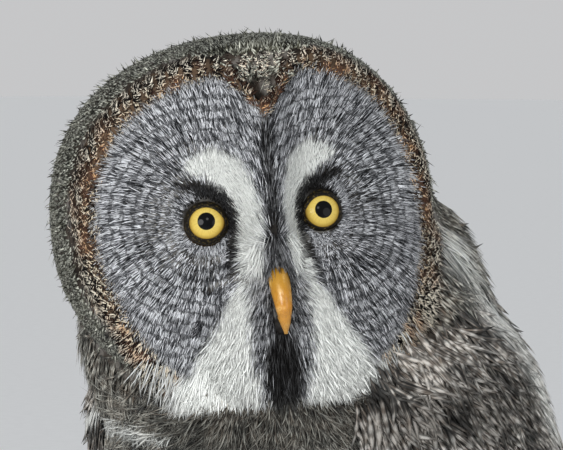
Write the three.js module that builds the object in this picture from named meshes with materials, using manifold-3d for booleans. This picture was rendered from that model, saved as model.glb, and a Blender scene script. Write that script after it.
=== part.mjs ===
// A great grey owl at life size, standing on level ground with its head turned to its left.
// Millimetres, +Z up. The bird faces -Y and its left side is +X.
import * as THREE from "three";
import Module from "manifold-3d";

const wasm = await Module();
wasm.setup();
const { Manifold, Mesh } = wasm;

// Driving sizes
const GAP = 0.3; // between pieces that touch
const SMALLEST_FORM = 0.08; // what a cut leaves below this is smoothed away
const HEAD_CENTRE = [0, -40, 366];
const HEAD_YAW = 54;
const HEAD_ROLL = 5.3;
const RIM_FORWARD = 40; // from the head's centre to the plane of the disc's side edges
const HEAD_BACK = 108; // from that plane to the back of the head
const HEAD_HALF_WIDTH = 95;
const HEAD_HALF_HEIGHT = 90;
const DISC_RADIUS = 86.5;
const DISC_CHIN_EXTRA = 7;
const DISC_BROW_LESS = 6; // how much lower the disc's two arches are than a circle
const DISC_NOTCH = 25; // depth of the notch over the forehead
const DISC_NOTCH_SPREAD = 11;
const DISC_THICKNESS = 8;
const RUFF_SHARE = 0.86; // of the disc's radius, where the ruff begins
const FRINGE = 6; // how far the tips of ruff and chin reach past the edge of the disc
const RUFF_VANES = 14; // on each side
const RUFF_VANE_WIDTH = 16.5;
const BOW_TIE_LOCKS = 5; // on each side of the chin
const RIM_TOP_FORWARD = 37; // the disc's edge comes forward over the forehead and at the chin
const RIM_CHIN_FORWARD = 20;
const FACE_FORWARD = 29;
const RIDGE_HEIGHT = 13; // of the crest of feathers between the eyes
const RIDGE_SPREAD = 12;
const EYE_SPACING = 53;
const EYE_RADIUS = 11.5;
const EYE_FORWARD = 14; // of the eyeball's centre
const EYE_OUTWARD = 12; // each eye looks outward by this angle
const ORBIT_FORWARD = 6; // of the feathers round an eye, from the eyeball's centre
const ORBIT_RADIUS = 16;
const IRIS_RADIUS = 8.5;
const LID_WIDTH = 3;
const BILL_ROOT = [-20, 30]; // height over the eye line, and forward
const BILL_TIP = [-53, 44];
const BILL_HALF_WIDTH = 5.2;
const TAIL_ROOT = [106, 112]; // y, z
const TAIL_LENGTH = 290;
const TAIL_FEATHER_WIDTH = 44;
const TAIL_FAN = 12; // from the middle to the outermost feather
const VANE_THICKNESS = 0.7;
const LEG_SPACING = 84;
const FOOT_Y = 10;
const TOE_RADIUS = 7.5;
const CLAW_LENGTH = 20;

const rad = THREE.MathUtils.degToRad;
const lerp = THREE.MathUtils.lerp;
const vector = (x, y, z) => new THREE.Vector3(x, y, z);

// 0 below from, 1 above to, and smooth between
function ease(value, from, to) {
  const t = THREE.MathUtils.clamp((value - from) / (to - from), 0, 1);
  return t * t * (3 - 2 * t);
}

// Reads a smooth curve through rows of [place, value, value, ...] at a place
function profile(rows, place) {
  let i = 0;
  while (i < rows.length - 2 && place > rows[i + 1][0]) i++;
  const before = rows[Math.max(i - 1, 0)];
  const [a, b] = [rows[i], rows[i + 1]];
  const after = rows[Math.min(i + 2, rows.length - 1)];
  const t = THREE.MathUtils.clamp((place - a[0]) / (b[0] - a[0]), 0, 1);
  return a.slice(1).map((p1, k) => {
    const [p0, p2, p3] = [before[k + 1], b[k + 1], after[k + 1]];
    const [m1, m2] = [(p2 - p0) / 2, (p3 - p1) / 2];
    const [t2, t3] = [t * t, t * t * t];
    const start = (2 * t3 - 3 * t2 + 1) * p1 + (t3 - 2 * t2 + t) * m1;
    return start + (3 * t2 - 2 * t3) * p2 + (t3 - t2) * m2;
  });
}

// A closed solid from points and triangles, turned so that its faces point out
function solid(points, faces) {
  let volume = 0;
  for (const [a, b, c] of faces) volume += points[a].dot(points[b].clone().cross(points[c]));
  const turned = volume < 0 ? faces.map(([a, b, c]) => [a, c, b]) : faces;
  return new Manifold(
    new Mesh({
      numProp: 3,
      vertProperties: new Float32Array(points.flatMap((p) => [p.x, p.y, p.z])),
      triVerts: new Uint32Array(turned.flat()),
    }),
  );
}

// A closed skin over rings of equal length, with each end closed to its own middle or to a given pole
function loft(rings, firstPole, lastPole) {
  const count = rings[0].length;
  const middle = (ring) => ring.reduce((sum, p) => sum.add(p), vector(0, 0, 0)).divideScalar(count);
  const points = rings.flat();
  const faces = [];
  for (let i = 0; i + 1 < rings.length; i++) {
    for (let j = 0; j < count; j++) {
      const [a, b] = [i * count + j, i * count + ((j + 1) % count)];
      faces.push([a, b, b + count], [a, b + count, a + count]);
    }
  }
  const last = (rings.length - 1) * count;
  points.push(firstPole ?? middle(rings[0]), lastPole ?? middle(rings[rings.length - 1]));
  for (let j = 0; j < count; j++) {
    const next = (j + 1) % count;
    faces.push([next, j, points.length - 2], [last + j, last + next, points.length - 1]);
  }
  return solid(points, faces);
}

function join(pieces) {
  return pieces.length > 1 ? Manifold.union(pieces) : pieces[0];
}

function largest(body) {
  return body.decompose().sort((a, b) => b.volume() - a.volume())[0];
}

// Rings of an ellipse across a curve, each with its own half sizes; up sets where the second one points
function tube(curve, stations, sides, halfSizes, up, grow = 0) {
  const rings = stations.map((t) => {
    const centre = curve.getPoint(t);
    const along = curve.getTangent(t);
    const across = up.clone().cross(along).normalize();
    const over = along.clone().cross(across).normalize();
    const [a, b] = halfSizes(t);
    return Array.from({ length: sides }, (_, j) => {
      const angle = (2 * Math.PI * j) / sides;
      return centre
        .clone()
        .addScaledVector(across, (a + grow) * Math.cos(angle))
        .addScaledVector(over, (b + grow) * Math.sin(angle));
    });
  });
  return loft(rings);
}

// A fixed sequence of small differences, so that like pieces vary but each build is the same
let seed = 7;
function vary(amount) {
  seed = (seed * 16807) % 2147483647;
  return amount * (2 * (seed / 2147483647) - 1);
}

const evenly = (count, from = 0, to = 1) =>
  Array.from({ length: count }, (_, i) => lerp(from, to, i / (count - 1)));

// Torso: ellipses along a line from the tail's root to the neck
const TORSO_LINE = new THREE.CatmullRomCurve3([
  vector(0, TAIL_ROOT[0], TAIL_ROOT[1]),
  vector(0, 64, 176),
  vector(0, 12, 256),
  vector(0, -36, 328),
]);
const TORSO_SIZES = [
  [0, 30, 24],
  [0.12, 62, 52],
  [0.3, 89, 80],
  [0.52, 102, 96],
  [0.72, 101, 97],
  [0.88, 91, 86],
  [1, 62, 60],
];
function torsoShape(grow = 0) {
  const sizes = (t) => profile(TORSO_SIZES, t);
  return tube(TORSO_LINE, evenly(12), 24, sizes, vector(0, 1, 0.6), grow);
}

// Neck: the thick collar of feathers between torso and head
const NECK_LINE = new THREE.CatmullRomCurve3([
  vector(0, 20, 268),
  vector(0, 0, 301),
  vector(0, -21, 334),
  vector(0, -42, 378),
]);
const NECK_SIZES = [
  [0, 95, 92],
  [0.33, 101, 98],
  [0.66, 99, 96],
  [0.86, 88, 86],
  [1, 62, 60],
];
function neckShape(grow = 0) {
  const sizes = (t) => profile(NECK_SIZES, t);
  return tube(NECK_LINE, evenly(7), 22, sizes, vector(0, 1, 0.6), grow);
}

// Face and head, in the head's own frame: +X left, -Y forward, +Z up, with the eye line at zero

// Degrees over the eye line of an angle round the disc, on either side
function heightOf(angle) {
  return THREE.MathUtils.radToDeg(Math.asin(THREE.MathUtils.clamp(Math.sin(angle), -1, 1)));
}

function discRadius(angle) {
  const sine = Math.sin(angle);
  const notch = DISC_NOTCH * Math.exp(-(((90 - heightOf(angle)) / DISC_NOTCH_SPREAD) ** 2));
  const chin = DISC_CHIN_EXTRA * ease(-sine, 0.35, 0.85);
  return DISC_RADIUS + chin - DISC_BROW_LESS * ease(sine, 0.6, 1) - notch;
}

function rimForward(angle) {
  const height = heightOf(angle);
  return RIM_TOP_FORWARD * ease(height, 25, 85) + RIM_CHIN_FORWARD * ease(-height, 5, 50);
}

// How far forward the face lies at an angle round the disc and a share of its radius
function faceForward(angle, share) {
  const radius = share * discRadius(angle);
  const [x, z] = [radius * Math.cos(angle), radius * Math.sin(angle)];
  const blend = share ** 1.5;
  const fading = (1 - 0.3 * ease(z, 25, 60)) * (1 - 0.75 * ease(-z, 46, 76));
  const crest = Math.exp(-((x / RIDGE_SPREAD) ** 2)) * fading;
  const dish = 4 * Math.sin(Math.PI * share);
  const rim = 3 * Math.exp(-(((share - 0.95) / 0.07) ** 2));
  const open = lerp(FACE_FORWARD, rimForward(angle), blend) + RIDGE_HEIGHT * crest - dish + rim;
  const fromEye = Math.abs(x) - EYE_SPACING / 2;
  const outward = rad(EYE_OUTWARD);
  const orbit = EYE_FORWARD + (ORBIT_FORWARD - fromEye * Math.sin(outward)) / Math.cos(outward);
  return lerp(open, orbit, Math.exp(-((Math.hypot(fromEye, z) / ORBIT_RADIUS) ** 4)));
}

const FACE_SIDES = 36;
const FACE_SHARES = [0.17, 0.35, 0.53, 0.71, RUFF_SHARE, 0.94, 1];
function facePoint(angle, share, forward, grow = 0) {
  const radius = share * discRadius(angle) + grow;
  return vector(radius * Math.cos(angle), -forward, radius * Math.sin(angle));
}

// The dish of the face, from its front surface back to a shallow cone
function faceShape(front = 0, grow = 0) {
  const angles = Array.from({ length: FACE_SIDES }, (_, i) => (2 * Math.PI * (i + 0.5)) / FACE_SIDES);
  const back = DISC_THICKNESS + grow;
  const rings = FACE_SHARES.map((share) =>
    angles.map((a) => facePoint(a, share, faceForward(a, share) + front, grow * share)),
  ).reverse();
  const rear = angles.map((a) => facePoint(a, 1, rimForward(a) - back, grow));
  const [rearMiddle, frontMiddle] = [FACE_FORWARD - 1.5 * back, faceForward(0, 0) + front];
  return loft([rear, ...rings], vector(0, -rearMiddle, 0), vector(0, -frontMiddle, 0));
}

// A point on the face, raised from it
function onFace(x, z, lift) {
  const angle = Math.atan2(z, x);
  const share = Math.hypot(x, z) / discRadius(angle);
  return vector(x, -(faceForward(angle, Math.min(share, 1)) + lift), z);
}

// Half width of a lock at a share of its length, as a share of its widest
const LOCK_OUTLINE = [
  [0, 0.6],
  [0.4, 1],
  [0.75, 0.7],
  [1, 0.12],
];

// A lock on the face, from its root to its tip, each [x, z, lift], bent sideways by bend at its middle
function faceLock(root, tip, width, rows, bend = 0) {
  const direction = vector(tip[0] - root[0], 0, tip[1] - root[1]).normalize();
  const [acrossX, acrossZ] = [direction.z, -direction.x];
  const stations = evenly(rows).map((share) => {
    const swing = bend * Math.sin(Math.PI * share);
    const x = lerp(root[0], tip[0], share) + acrossX * swing;
    const z = lerp(root[1], tip[1], share) + acrossZ * swing;
    const lift = lerp(root[2], tip[2], ease(share, 0, 0.4));
    const half = (width / 2) * profile(LOCK_OUTLINE, share)[0];
    const left = onFace(x - acrossX * half, z - acrossZ * half, lift);
    const right = onFace(x + acrossX * half, z + acrossZ * half, lift);
    const side = right.clone().sub(left).multiplyScalar(0.5);
    return [left.add(right).multiplyScalar(0.5), side, side.clone().cross(direction).normalize()];
  });
  return plate(stations, VANE_THICKNESS);
}

// An angle round the disc that is this many degrees from straight down, towards the given side
const fromChin = (degrees, side) => rad(-90 + side * degrees);

function discSpot(angle, share) {
  return [share * discRadius(angle) * Math.cos(angle), share * discRadius(angle) * Math.sin(angle)];
}

// White locks that sweep down from beside the bill over the disc's lower edge, and dark ones on the chin
function chinLocks(side) {
  const white = evenly(BOW_TIE_LOCKS).map((t) => {
    const root = discSpot(fromChin(lerp(12, 44, t), side), 0.52 + vary(0.03));
    const tip = discSpot(fromChin(lerp(9, 46, t), side), 1.01 + vary(0.03));
    return faceLock([...root, -1], [...tip, 3.8], 14, 4, side * 2);
  });
  const dark = faceLock([side * 5.5, -47, -1], [side * 6, -84, 2.2], 9, 4);
  return [...white, dark];
}

// Bristly locks that rise from beside the bill and arch over the eye
function browLocks(side) {
  return [
    faceLock([side * 9, -14, -1], [side * 15, 34, 2], 9, 4, side * -2),
    faceLock([side * 12, -2, -1], [side * 27, 36, 2.4], 10, 4, side * -3),
    faceLock([side * 14, 10, -1], [side * 38, 31, 2.6], 10, 4, side * -4),
  ];
}

// Short feathers round the ruff, each leaning over the next one down
function ruffVanes(side) {
  return evenly(RUFF_VANES).map((t) => {
    const fromTop = lerp(9, 121, t);
    const angle = rad(90 - side * fromTop);
    const swept = angle - rad(side * 5);
    const stations = evenly(3).map((share) => {
      const at = lerp(angle, swept, share);
      const radius = discRadius(at) * lerp(RUFF_SHARE + 0.03, 1, share) + 4 * share + vary(0.6) * share;
      const forward = lerp(faceForward(at, 0.93) - 1, rimForward(at) + 5.5, share);
      const half = (RUFF_VANE_WIDTH / 2) * [0.75, 1, 0.3][Math.round(2 * share)];
      const across = vector(-Math.sin(at), -0.2 * side, Math.cos(at)).normalize().multiplyScalar(half);
      const outward = vector(Math.cos(at), 0, Math.sin(at));
      const centre = vector(radius * Math.cos(at), -forward, radius * Math.sin(at));
      return [centre, across, across.clone().cross(outward).normalize()];
    });
    return plate(stations, VANE_THICKNESS);
  });
}

// The room that the ruff leaves for the dish inside it
function dishRoom(grow = 0) {
  const angles = Array.from({ length: FACE_SIDES }, (_, i) => (2 * Math.PI * (i + 0.5)) / FACE_SIDES);
  const ring = (forward) => angles.map((a) => facePoint(a, RUFF_SHARE, forward, grow));
  return loft([ring(-60), ring(90)]);
}

const HEAD_ROWS = [
  // share of the way back, share of the half width
  [0, 0.925],
  [0.13, 0.975],
  [0.3, 1],
  [0.5, 0.98],
  [0.68, 0.91],
  [0.84, 0.75],
  [0.95, 0.45],
];
function headShape(grow = 0) {
  const sides = 32;
  const rings = HEAD_ROWS.map(([back, wide]) =>
    Array.from({ length: sides }, (_, j) => {
      const angle = (2 * Math.PI * j) / sides;
      const forward = lerp(rimForward(angle), -HEAD_BACK, back);
      const [across, up] = [Math.cos(angle), Math.sin(angle)];
      const square = (Math.abs(across) ** 2.2 + Math.abs(up) ** 2.2) ** (-1 / 2.2);
      const half = HEAD_HALF_WIDTH * wide * square + grow;
      const tall = HEAD_HALF_HEIGHT * wide * square + grow;
      return vector(half * across, -forward, tall * up);
    }),
  );
  return loft(rings, vector(0, -(FACE_FORWARD - 10), 0), vector(0, HEAD_BACK + grow, 0));
}

// Moves a solid made round its own +Y axis to an eye, so that the axis points out of the head
function atEye(body, side) {
  const place = new THREE.Matrix4()
    .makeTranslation((side * EYE_SPACING) / 2, -EYE_FORWARD, 0)
    .multiply(new THREE.Matrix4().makeRotationZ(rad(side * EYE_OUTWARD)));
  return body.transform(place.elements);
}

function ball(radius, around = 14, rows = 7) {
  const rings = evenly(rows, 180 / (rows + 1), 180 - 180 / (rows + 1)).map((degrees) =>
    Array.from({ length: around }, (_, j) => {
      const angle = (2 * Math.PI * j) / around;
      const across = radius * Math.sin(rad(degrees));
      return vector(across * Math.cos(angle), -radius * Math.cos(rad(degrees)), across * Math.sin(angle));
    }),
  );
  return loft(rings, vector(0, -radius, 0), vector(0, radius, 0));
}

// A bare rim round the eye, whose upper edge sits lower than a full circle
function lidShape() {
  const around = 20;
  const depthAt = (r) => Math.sqrt(Math.max(EYE_RADIUS ** 2 - r ** 2, 0));
  const outer = IRIS_RADIUS + LID_WIDTH;
  const points = [];
  for (let j = 0; j < around; j++) {
    const angle = (2 * Math.PI * j) / around;
    const inner = IRIS_RADIUS * (1 - 0.12 * ease(Math.sin(angle), 0.1, 1));
    const section = [
      [inner, depthAt(inner) + 0.7],
      [inner + 1.2, depthAt(inner) + 1.7],
      [outer, depthAt(IRIS_RADIUS) + 0.2],
      [outer + 1, -2],
      [outer + 0.5, -2],
      [outer + 0.5, 3.4],
    ];
    for (const [r, forward] of section) {
      points.push(vector(r * Math.cos(angle), -forward, r * Math.sin(angle)));
    }
  }
  const faces = [];
  const n = points.length / around;
  for (let j = 0; j < around; j++) {
    for (let k = 0; k < n; k++) {
      const [a, b] = [j * n + k, j * n + ((k + 1) % n)];
      const next = ((j + 1) % around) * n;
      const [c, d] = [next + k, next + ((k + 1) % n)];
      faces.push([a, b, d], [a, d, c]);
    }
  }
  return solid(points, faces);
}

// The hole in the face that an eye and its lids fill
function socket() {
  const radius = IRIS_RADIUS + LID_WIDTH + 1 + GAP + 0.2;
  const ring = (forward, r) =>
    Array.from({ length: 20 }, (_, j) => {
      const angle = (2 * Math.PI * j) / 20;
      return vector(r * Math.cos(angle), -forward, r * Math.sin(angle));
    });
  const mouth = [ring(30, radius + 4), ring(5, radius), ring(-2 - GAP, radius)];
  return loft([...mouth, ring(-9, 9.6), ring(-12.4, 3)]);
}

// Upper half of the bill: a hook that leaves the face between the eyes and curves down
function billUpper(grow = 0) {
  const line = new THREE.CatmullRomCurve3([
    vector(0, -BILL_ROOT[1] + 4, BILL_ROOT[0] + 3),
    vector(0, -40, -27),
    vector(0, -44.5, -38),
    vector(0, -BILL_TIP[1], BILL_TIP[0]),
  ]);
  const sizes = [
    [0, BILL_HALF_WIDTH + 1.5, 8],
    [0.35, BILL_HALF_WIDTH, 7],
    [0.7, 4, 4.6],
    [0.9, 2.2, 2.4],
    [1, 0.8, 0.8],
  ];
  const stations = [0, 0.18, 0.36, 0.54, 0.7, 0.84, 0.94, 1];
  return tube(line, stations, 12, (t) => profile(sizes, t), vector(0, 1, 0), grow);
}

function nostril(side) {
  return ball(1.4, 6, 3).translate([side * (BILL_HALF_WIDTH + 0.6), -37, -24]);
}

function billLower(grow = 0) {
  const line = new THREE.CatmullRomCurve3([vector(0, -20, -34), vector(0, -28, -38), vector(0, -37, -47)]);
  const sizes = [
    [0, 5.5, 5],
    [0.5, 4, 3.4],
    [1, 1.2, 1],
  ];
  return tube(line, evenly(5), 10, (t) => profile(sizes, t), vector(0, 1, 0), grow);
}

// A thin feather: stations of [centre, half width vector, normal], as one plate with a rounded end
function plate(stations, thickness) {
  const rings = stations.map(([centre, half, normal]) => {
    const lift = normal.clone().multiplyScalar(thickness / 2);
    const [left, right] = [centre.clone().sub(half), centre.clone().add(half)];
    const under = [left.clone().sub(lift), right.clone().sub(lift)];
    return [...under, right.clone().add(lift), left.clone().add(lift)];
  });
  const points = rings.flat();
  const faces = [];
  for (let i = 0; i + 1 < rings.length; i++) {
    const [a, b] = [4 * i, 4 * i + 4];
    faces.push([a, a + 1, b + 1], [a, b + 1, b]); // underside
    faces.push([a + 3, b + 2, a + 2], [a + 3, b + 3, b + 2]); // upper side, split alike
    faces.push([a + 1, a + 2, b + 2], [a + 1, b + 2, b + 1]);
    faces.push([a + 3, a, b], [a + 3, b, b + 3]);
  }
  const end = points.length - 4;
  faces.push([0, 2, 1], [0, 3, 2], [end, end + 1, end + 2], [end, end + 2, end + 3]);
  return solid(points, faces);
}

// Half width of a feather at a share of its length, as a share of its widest
const FEATHER_OUTLINE = [
  [0, 0.35],
  [0.3, 0.85],
  [0.6, 1],
  [0.85, 0.86],
  [0.95, 0.55],
  [1, 0.2],
];

// The bed that the folded wings lie on: the torso carried on towards the tail's end
const BED_LINE = new THREE.CatmullRomCurve3([
  vector(0, -36, 328),
  vector(0, 12, 256),
  vector(0, 64, 182),
  vector(0, 130, 122),
  vector(0, 215, 72),
  vector(0, 310, 26),
]);
const BED_LENGTH = BED_LINE.getLength();
const BED_SIZES = [
  [0, 84, 80],
  [0.1, 98, 93],
  [0.2, 102, 97],
  [0.32, 100, 92],
  [0.45, 84, 68],
  [0.6, 62, 46],
  [0.8, 42, 38],
  [1, 32, 34],
];

// A point beside the bird's left: along in mm from the neck, an angle over the widest line, and an offset
function bedPoint(along, degrees, offset) {
  const share = THREE.MathUtils.clamp(along / BED_LENGTH, 0, 1);
  const centre = BED_LINE.getPointAt(share);
  const tangent = BED_LINE.getTangentAt(share);
  const over = vector(0, -tangent.z, tangent.y).normalize();
  const [a, b] = profile(BED_SIZES, share);
  return centre
    .clone()
    .add(vector((a + offset) * Math.cos(rad(degrees)), 0, 0))
    .addScaledVector(over, (b + offset) * Math.sin(rad(degrees)));
}

// A feather on the bed, from its root to its tip, each [along, degrees, offset]
function bedFeather(root, tip, width, count, lean) {
  const stations = evenly(count).map((share) => {
    const [along, degrees, offset] = root.map((value, k) => lerp(value, tip[k], share));
    const centre = bedPoint(along, degrees, offset);
    const ahead = bedPoint(along + 2, degrees, offset).sub(bedPoint(along - 2, degrees, offset)).normalize();
    const outward = bedPoint(along, degrees, offset + 1).sub(centre).normalize();
    const across = outward.clone().cross(ahead).normalize();
    const half = (width / 2) * profile(FEATHER_OUTLINE, share)[0];
    const leaning = lean * Math.min(1, 2 * share);
    const side = across.clone().multiplyScalar(half).addScaledVector(outward, -leaning);
    return [centre, side, ahead.clone().cross(side).normalize().negate()];
  });
  return plate(stations, VANE_THICKNESS);
}

// Each tier: how many feathers, the first and the last one as [along, degrees, along, degrees] from root to
// tip, the offsets of root and tip from the bed, how much higher each lies than the one before, the feathers'
// width, the lean of each over the next, and its rows
const WING_TIERS = [
  {
    count: 5, first: [200, -18, 428, 12], last: [200, 8, 372, 34],
    offsets: [0.4, 0], step: 1.5, width: 22, lean: 1.2, rows: 5,
  },
  {
    count: 6, first: [104, -10, 326, 0], last: [92, 60, 254, 70],
    offsets: [3, 4.5], step: 1.1, width: 36, lean: 2.2, rows: 5,
  },
  {
    count: 6, first: [66, -18, 208, -14], last: [60, 56, 168, 66],
    offsets: [6.5, 10.5], step: 0.5, width: 40, lean: 2.4, rows: 4,
  },
];

const PAD = { along: 76, halfAlong: 70, degrees: 18, halfDegrees: 52, height: 13 };

// The arm and its small coverts, from which the wing's feathers grow
function wingPad() {
  const [sides, shares] = [18, [1, 0.84, 0.5]];
  const at = (angle, share, offset) =>
    bedPoint(
      PAD.along + PAD.halfAlong * share * Math.cos(angle),
      PAD.degrees + PAD.halfDegrees * share * Math.sin(angle),
      offset,
    );
  const ring = (share, offset) =>
    Array.from({ length: sides }, (_, j) => at((2 * Math.PI * j) / sides, share, offset));
  const outer = shares.map((share) => ring(share, PAD.height * Math.sqrt(1 - share ** 2.4)));
  return loft([ring(0.5, -10), ring(0.9, -8), ...outer], at(0, 0, -10), at(0, 0, PAD.height));
}

function wingFeathers() {
  return WING_TIERS.flatMap(({ count, first, last, offsets, step, width, lean, rows }) =>
    evenly(count).map((share, i) => {
      const place = first.map((value, k) => lerp(value, last[k], share));
      const root = [place[0], place[1], offsets[0] + step * i];
      const tip = [place[2] + vary(4), place[3], offsets[1] + step * i];
      return bedFeather(root, tip, width, rows, lean);
    }),
  );
}

// Tail: a short root under its coverts, and feathers in a narrow fan whose outer ones lie lower
const TAIL_DROP = Math.asin(TAIL_ROOT[1] / (TAIL_LENGTH + 4));
const TAIL_ALONG = vector(0, Math.cos(TAIL_DROP), -Math.sin(TAIL_DROP));
const TAIL_OVER = vector(0, Math.sin(TAIL_DROP), Math.cos(TAIL_DROP));

function tailPoint(along, across, over) {
  const root = vector(across, TAIL_ROOT[0], TAIL_ROOT[1]);
  return root.addScaledVector(TAIL_ALONG, along).addScaledVector(TAIL_OVER, over);
}

function tailFeather(degrees, from, to, over, width, rows) {
  const stations = evenly(rows).map((share) => {
    const distance = lerp(from, to, share);
    const angle = rad(degrees);
    const centre = tailPoint(distance * Math.cos(angle), distance * Math.sin(angle) * 0.9, over);
    const ahead = vector(Math.sin(angle), 0, 0).addScaledVector(TAIL_ALONG, Math.cos(angle)).normalize();
    const half = (width / 2) * profile(FEATHER_OUTLINE, share)[0];
    const side = ahead.clone().cross(TAIL_OVER).multiplyScalar(half);
    return [centre, side, side.clone().cross(ahead).normalize()];
  });
  return plate(stations, VANE_THICKNESS);
}

function tailShape() {
  const feathers = [];
  for (const side of [-1, 1]) {
    for (let i = 0; i < 6; i++) {
      const degrees = (side * TAIL_FAN * (i + 0.35)) / 5.35;
      const length = TAIL_LENGTH - 2.2 * i * i + vary(1.5);
      const over = 3.4 - 1.6 * i + 0.5 * side;
      feathers.push(tailFeather(degrees, 20, length, over, TAIL_FEATHER_WIDTH, 5));
    }
  }
  for (const degrees of [-18, -6, 6, 18]) {
    const over = 8 - Math.abs(degrees) / 6 + degrees / 16;
    feathers.push(tailFeather(degrees, 20, 112 - Math.abs(degrees), over, 34, 4));
  }
  for (const degrees of [-16, 0, 16]) {
    feathers.push(tailFeather(degrees, 20, 96 - Math.abs(degrees), -12 + degrees / 14, 36, 4));
  }
  const line = new THREE.LineCurve3(tailPoint(-14, 0, 0), tailPoint(64, 0, -1));
  const sizes = [
    [0, 26, 18],
    [0.35, 34, 17],
    [0.75, 30, 10],
    [1, 16, 4],
  ];
  const root = tube(line, evenly(5), 14, (t) => profile(sizes, t), vector(0, 0, 1));
  return join([root, ...feathers]);
}

// Legs on the left, feathered to the claws
const LEG_X = LEG_SPACING / 2;

function thighShape(grow = 0) {
  const line = new THREE.CatmullRomCurve3([
    vector(LEG_X + 6, 36, 154),
    vector(LEG_X + 4, 28, 104),
    vector(LEG_X, 30, 60),
  ]);
  const sizes = [
    [0, 36, 50],
    [0.45, 36, 46],
    [0.8, 27, 32],
    [1, 16, 18],
  ];
  return tube(line, evenly(7), 14, (t) => profile(sizes, t), vector(0, 1, 0), grow);
}

function tarsusShape(grow = 0) {
  const line = new THREE.CatmullRomCurve3([
    vector(LEG_X, 30, 72),
    vector(LEG_X, 24, 44),
    vector(LEG_X, FOOT_Y + 4, 12),
  ]);
  const sizes = [
    [0, 15, 16],
    [0.5, 14, 14.5],
    [1, 12, 12],
  ];
  return tube(line, evenly(5), 12, (t) => profile(sizes, t), vector(0, 1, 0), grow);
}

// Each toe: the way it points, outward from straight ahead, and its length
const TOES = [
  { degrees: 192, length: 30 },
  { degrees: -20, length: 44 },
  { degrees: 10, length: 50 },
  { degrees: 58, length: 42 },
];

function toePoint({ degrees }, distance, height) {
  const angle = rad(degrees);
  return vector(LEG_X + distance * Math.sin(angle), FOOT_Y - distance * Math.cos(angle), height);
}

function toeShape(toe) {
  const sizes = [
    [0, TOE_RADIUS + 1],
    [0.45, TOE_RADIUS],
    [0.85, TOE_RADIUS - 0.5],
    [1, TOE_RADIUS - 3.5],
  ];
  const line = new THREE.CatmullRomCurve3(
    [0, 0.45, 0.85, 1].map((share) => toePoint(toe, toe.length * share, TOE_RADIUS - 1.2 - 0.6 * share)),
  );
  const round = (t) => [profile(sizes, t)[0], profile(sizes, t)[0]];
  return tube(line, [0, 0.4, 0.75, 1], 8, round, vector(0, 0, 1));
}

function clawShape(toe, grow = 0) {
  const start = toe.length - 4;
  const line = new THREE.CatmullRomCurve3([
    toePoint(toe, start, TOE_RADIUS - 0.5),
    toePoint(toe, start + CLAW_LENGTH * 0.45, TOE_RADIUS + 1.6),
    toePoint(toe, start + CLAW_LENGTH * 0.8, TOE_RADIUS - 1.8),
    toePoint(toe, start + CLAW_LENGTH, 0.9),
  ]);
  const sizes = [
    [0, 2.6, 3.2],
    [0.5, 2.3, 2.8],
    [0.85, 1.3, 1.5],
    [1, 0.5, 0.5],
  ];
  return tube(line, evenly(5), 8, (t) => profile(sizes, t), vector(0, 0, 1), grow);
}

function footShape() {
  const pad = ball(13, 12, 5).scale([1, 1, 0.8]).translate([LEG_X, FOOT_Y, 8]);
  const claws = TOES.map((toe) => clawShape(toe, GAP));
  return join([pad, ...TOES.map(toeShape)])
    .trimByPlane([0, 0, 1], 0)
    .subtract(join(claws))
    .subtract(tarsusShape(GAP));
}

// Materials
const paint = (color, roughness) => new THREE.MeshStandardMaterial({ color, roughness, metalness: 0 });
const PLUMAGE = paint(0x7d7d7b, 0.9);
const PALE_PLUMAGE = paint(0xa9a9a6, 0.9);
const DARK_PLUMAGE = paint(0x5c5853, 0.85);
const FACE_PLUMAGE = paint(0x8d8f92, 0.9);
const IRIS = paint(0xe6bf3c, 0.15);
const LID = paint(0x15120f, 0.5);
const HORN = paint(0xd98f1f, 0.35);
const CLAW = paint(0x17130f, 0.3);

function mesh(name, body, material) {
  const { vertProperties, triVerts, numProp } = largest(body.simplify(SMALLEST_FORM)).getMesh();
  if (numProp !== 3) throw new Error(name + " holds more than positions");
  const geometry = new THREE.BufferGeometry()
    .setAttribute("position", new THREE.BufferAttribute(vertProperties, 3))
    .setIndex(new THREE.BufferAttribute(triVerts, 1));
  geometry.computeVertexNormals();
  const made = new THREE.Mesh(geometry, material);
  made.name = name;
  return made;
}

const owl = new THREE.Group();

const headGroup = new THREE.Group();
headGroup.position.set(...HEAD_CENTRE);
headGroup.rotation.order = "ZYX";
headGroup.rotation.set(0, -rad(HEAD_ROLL), rad(HEAD_YAW));
headGroup.updateMatrix();
const faceGroup = new THREE.Group();
faceGroup.position.set(0, -RIM_FORWARD, 0);
faceGroup.updateMatrix();
headGroup.add(faceGroup);
owl.add(headGroup);
const toBody = headGroup.matrix.clone().multiply(faceGroup.matrix).elements;

function buildHead() {
  const face = faceShape();
  const faceRoom = faceShape(40, GAP);
  const bill = billUpper();
  const mandible = billLower().subtract(billUpper(GAP));
  const sockets = [-1, 1].map((side) => atEye(socket(), side));
  const billRoom = join([billUpper(GAP), billLower(GAP)]);
  const holes = join([...sockets, billRoom]);
  const head = headShape().subtract(faceRoom).subtract(holes);
  faceGroup.add(mesh("head", head, PLUMAGE));
  const dish = face.intersect(dishRoom());
  const rim = face.subtract(dishRoom(GAP));
  ["right", "left"].forEach((name, i) => {
    const side = i ? 1 : -1;
    const half = (body) => body.trimByPlane([side, 0, 0], GAP / 2);
    const locked = half(join([dish, ...chinLocks(side), ...browLocks(side)]).subtract(holes));
    const fringed = half(join([rim, ...ruffVanes(side)]).subtract(headShape(GAP)));
    faceGroup.add(mesh("facial_disc_" + name, locked, FACE_PLUMAGE));
    faceGroup.add(mesh("ruff_" + name, fringed, PALE_PLUMAGE));
    faceGroup.add(mesh("eye_" + name, atEye(ball(EYE_RADIUS), side), IRIS));
    faceGroup.add(mesh("eyelid_" + name, atEye(lidShape(), side), LID));
  });
  faceGroup.add(mesh("bill_upper", bill.subtract(join([nostril(-1), nostril(1)])), HORN));
  faceGroup.add(mesh("bill_lower", mandible, HORN));
}

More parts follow.
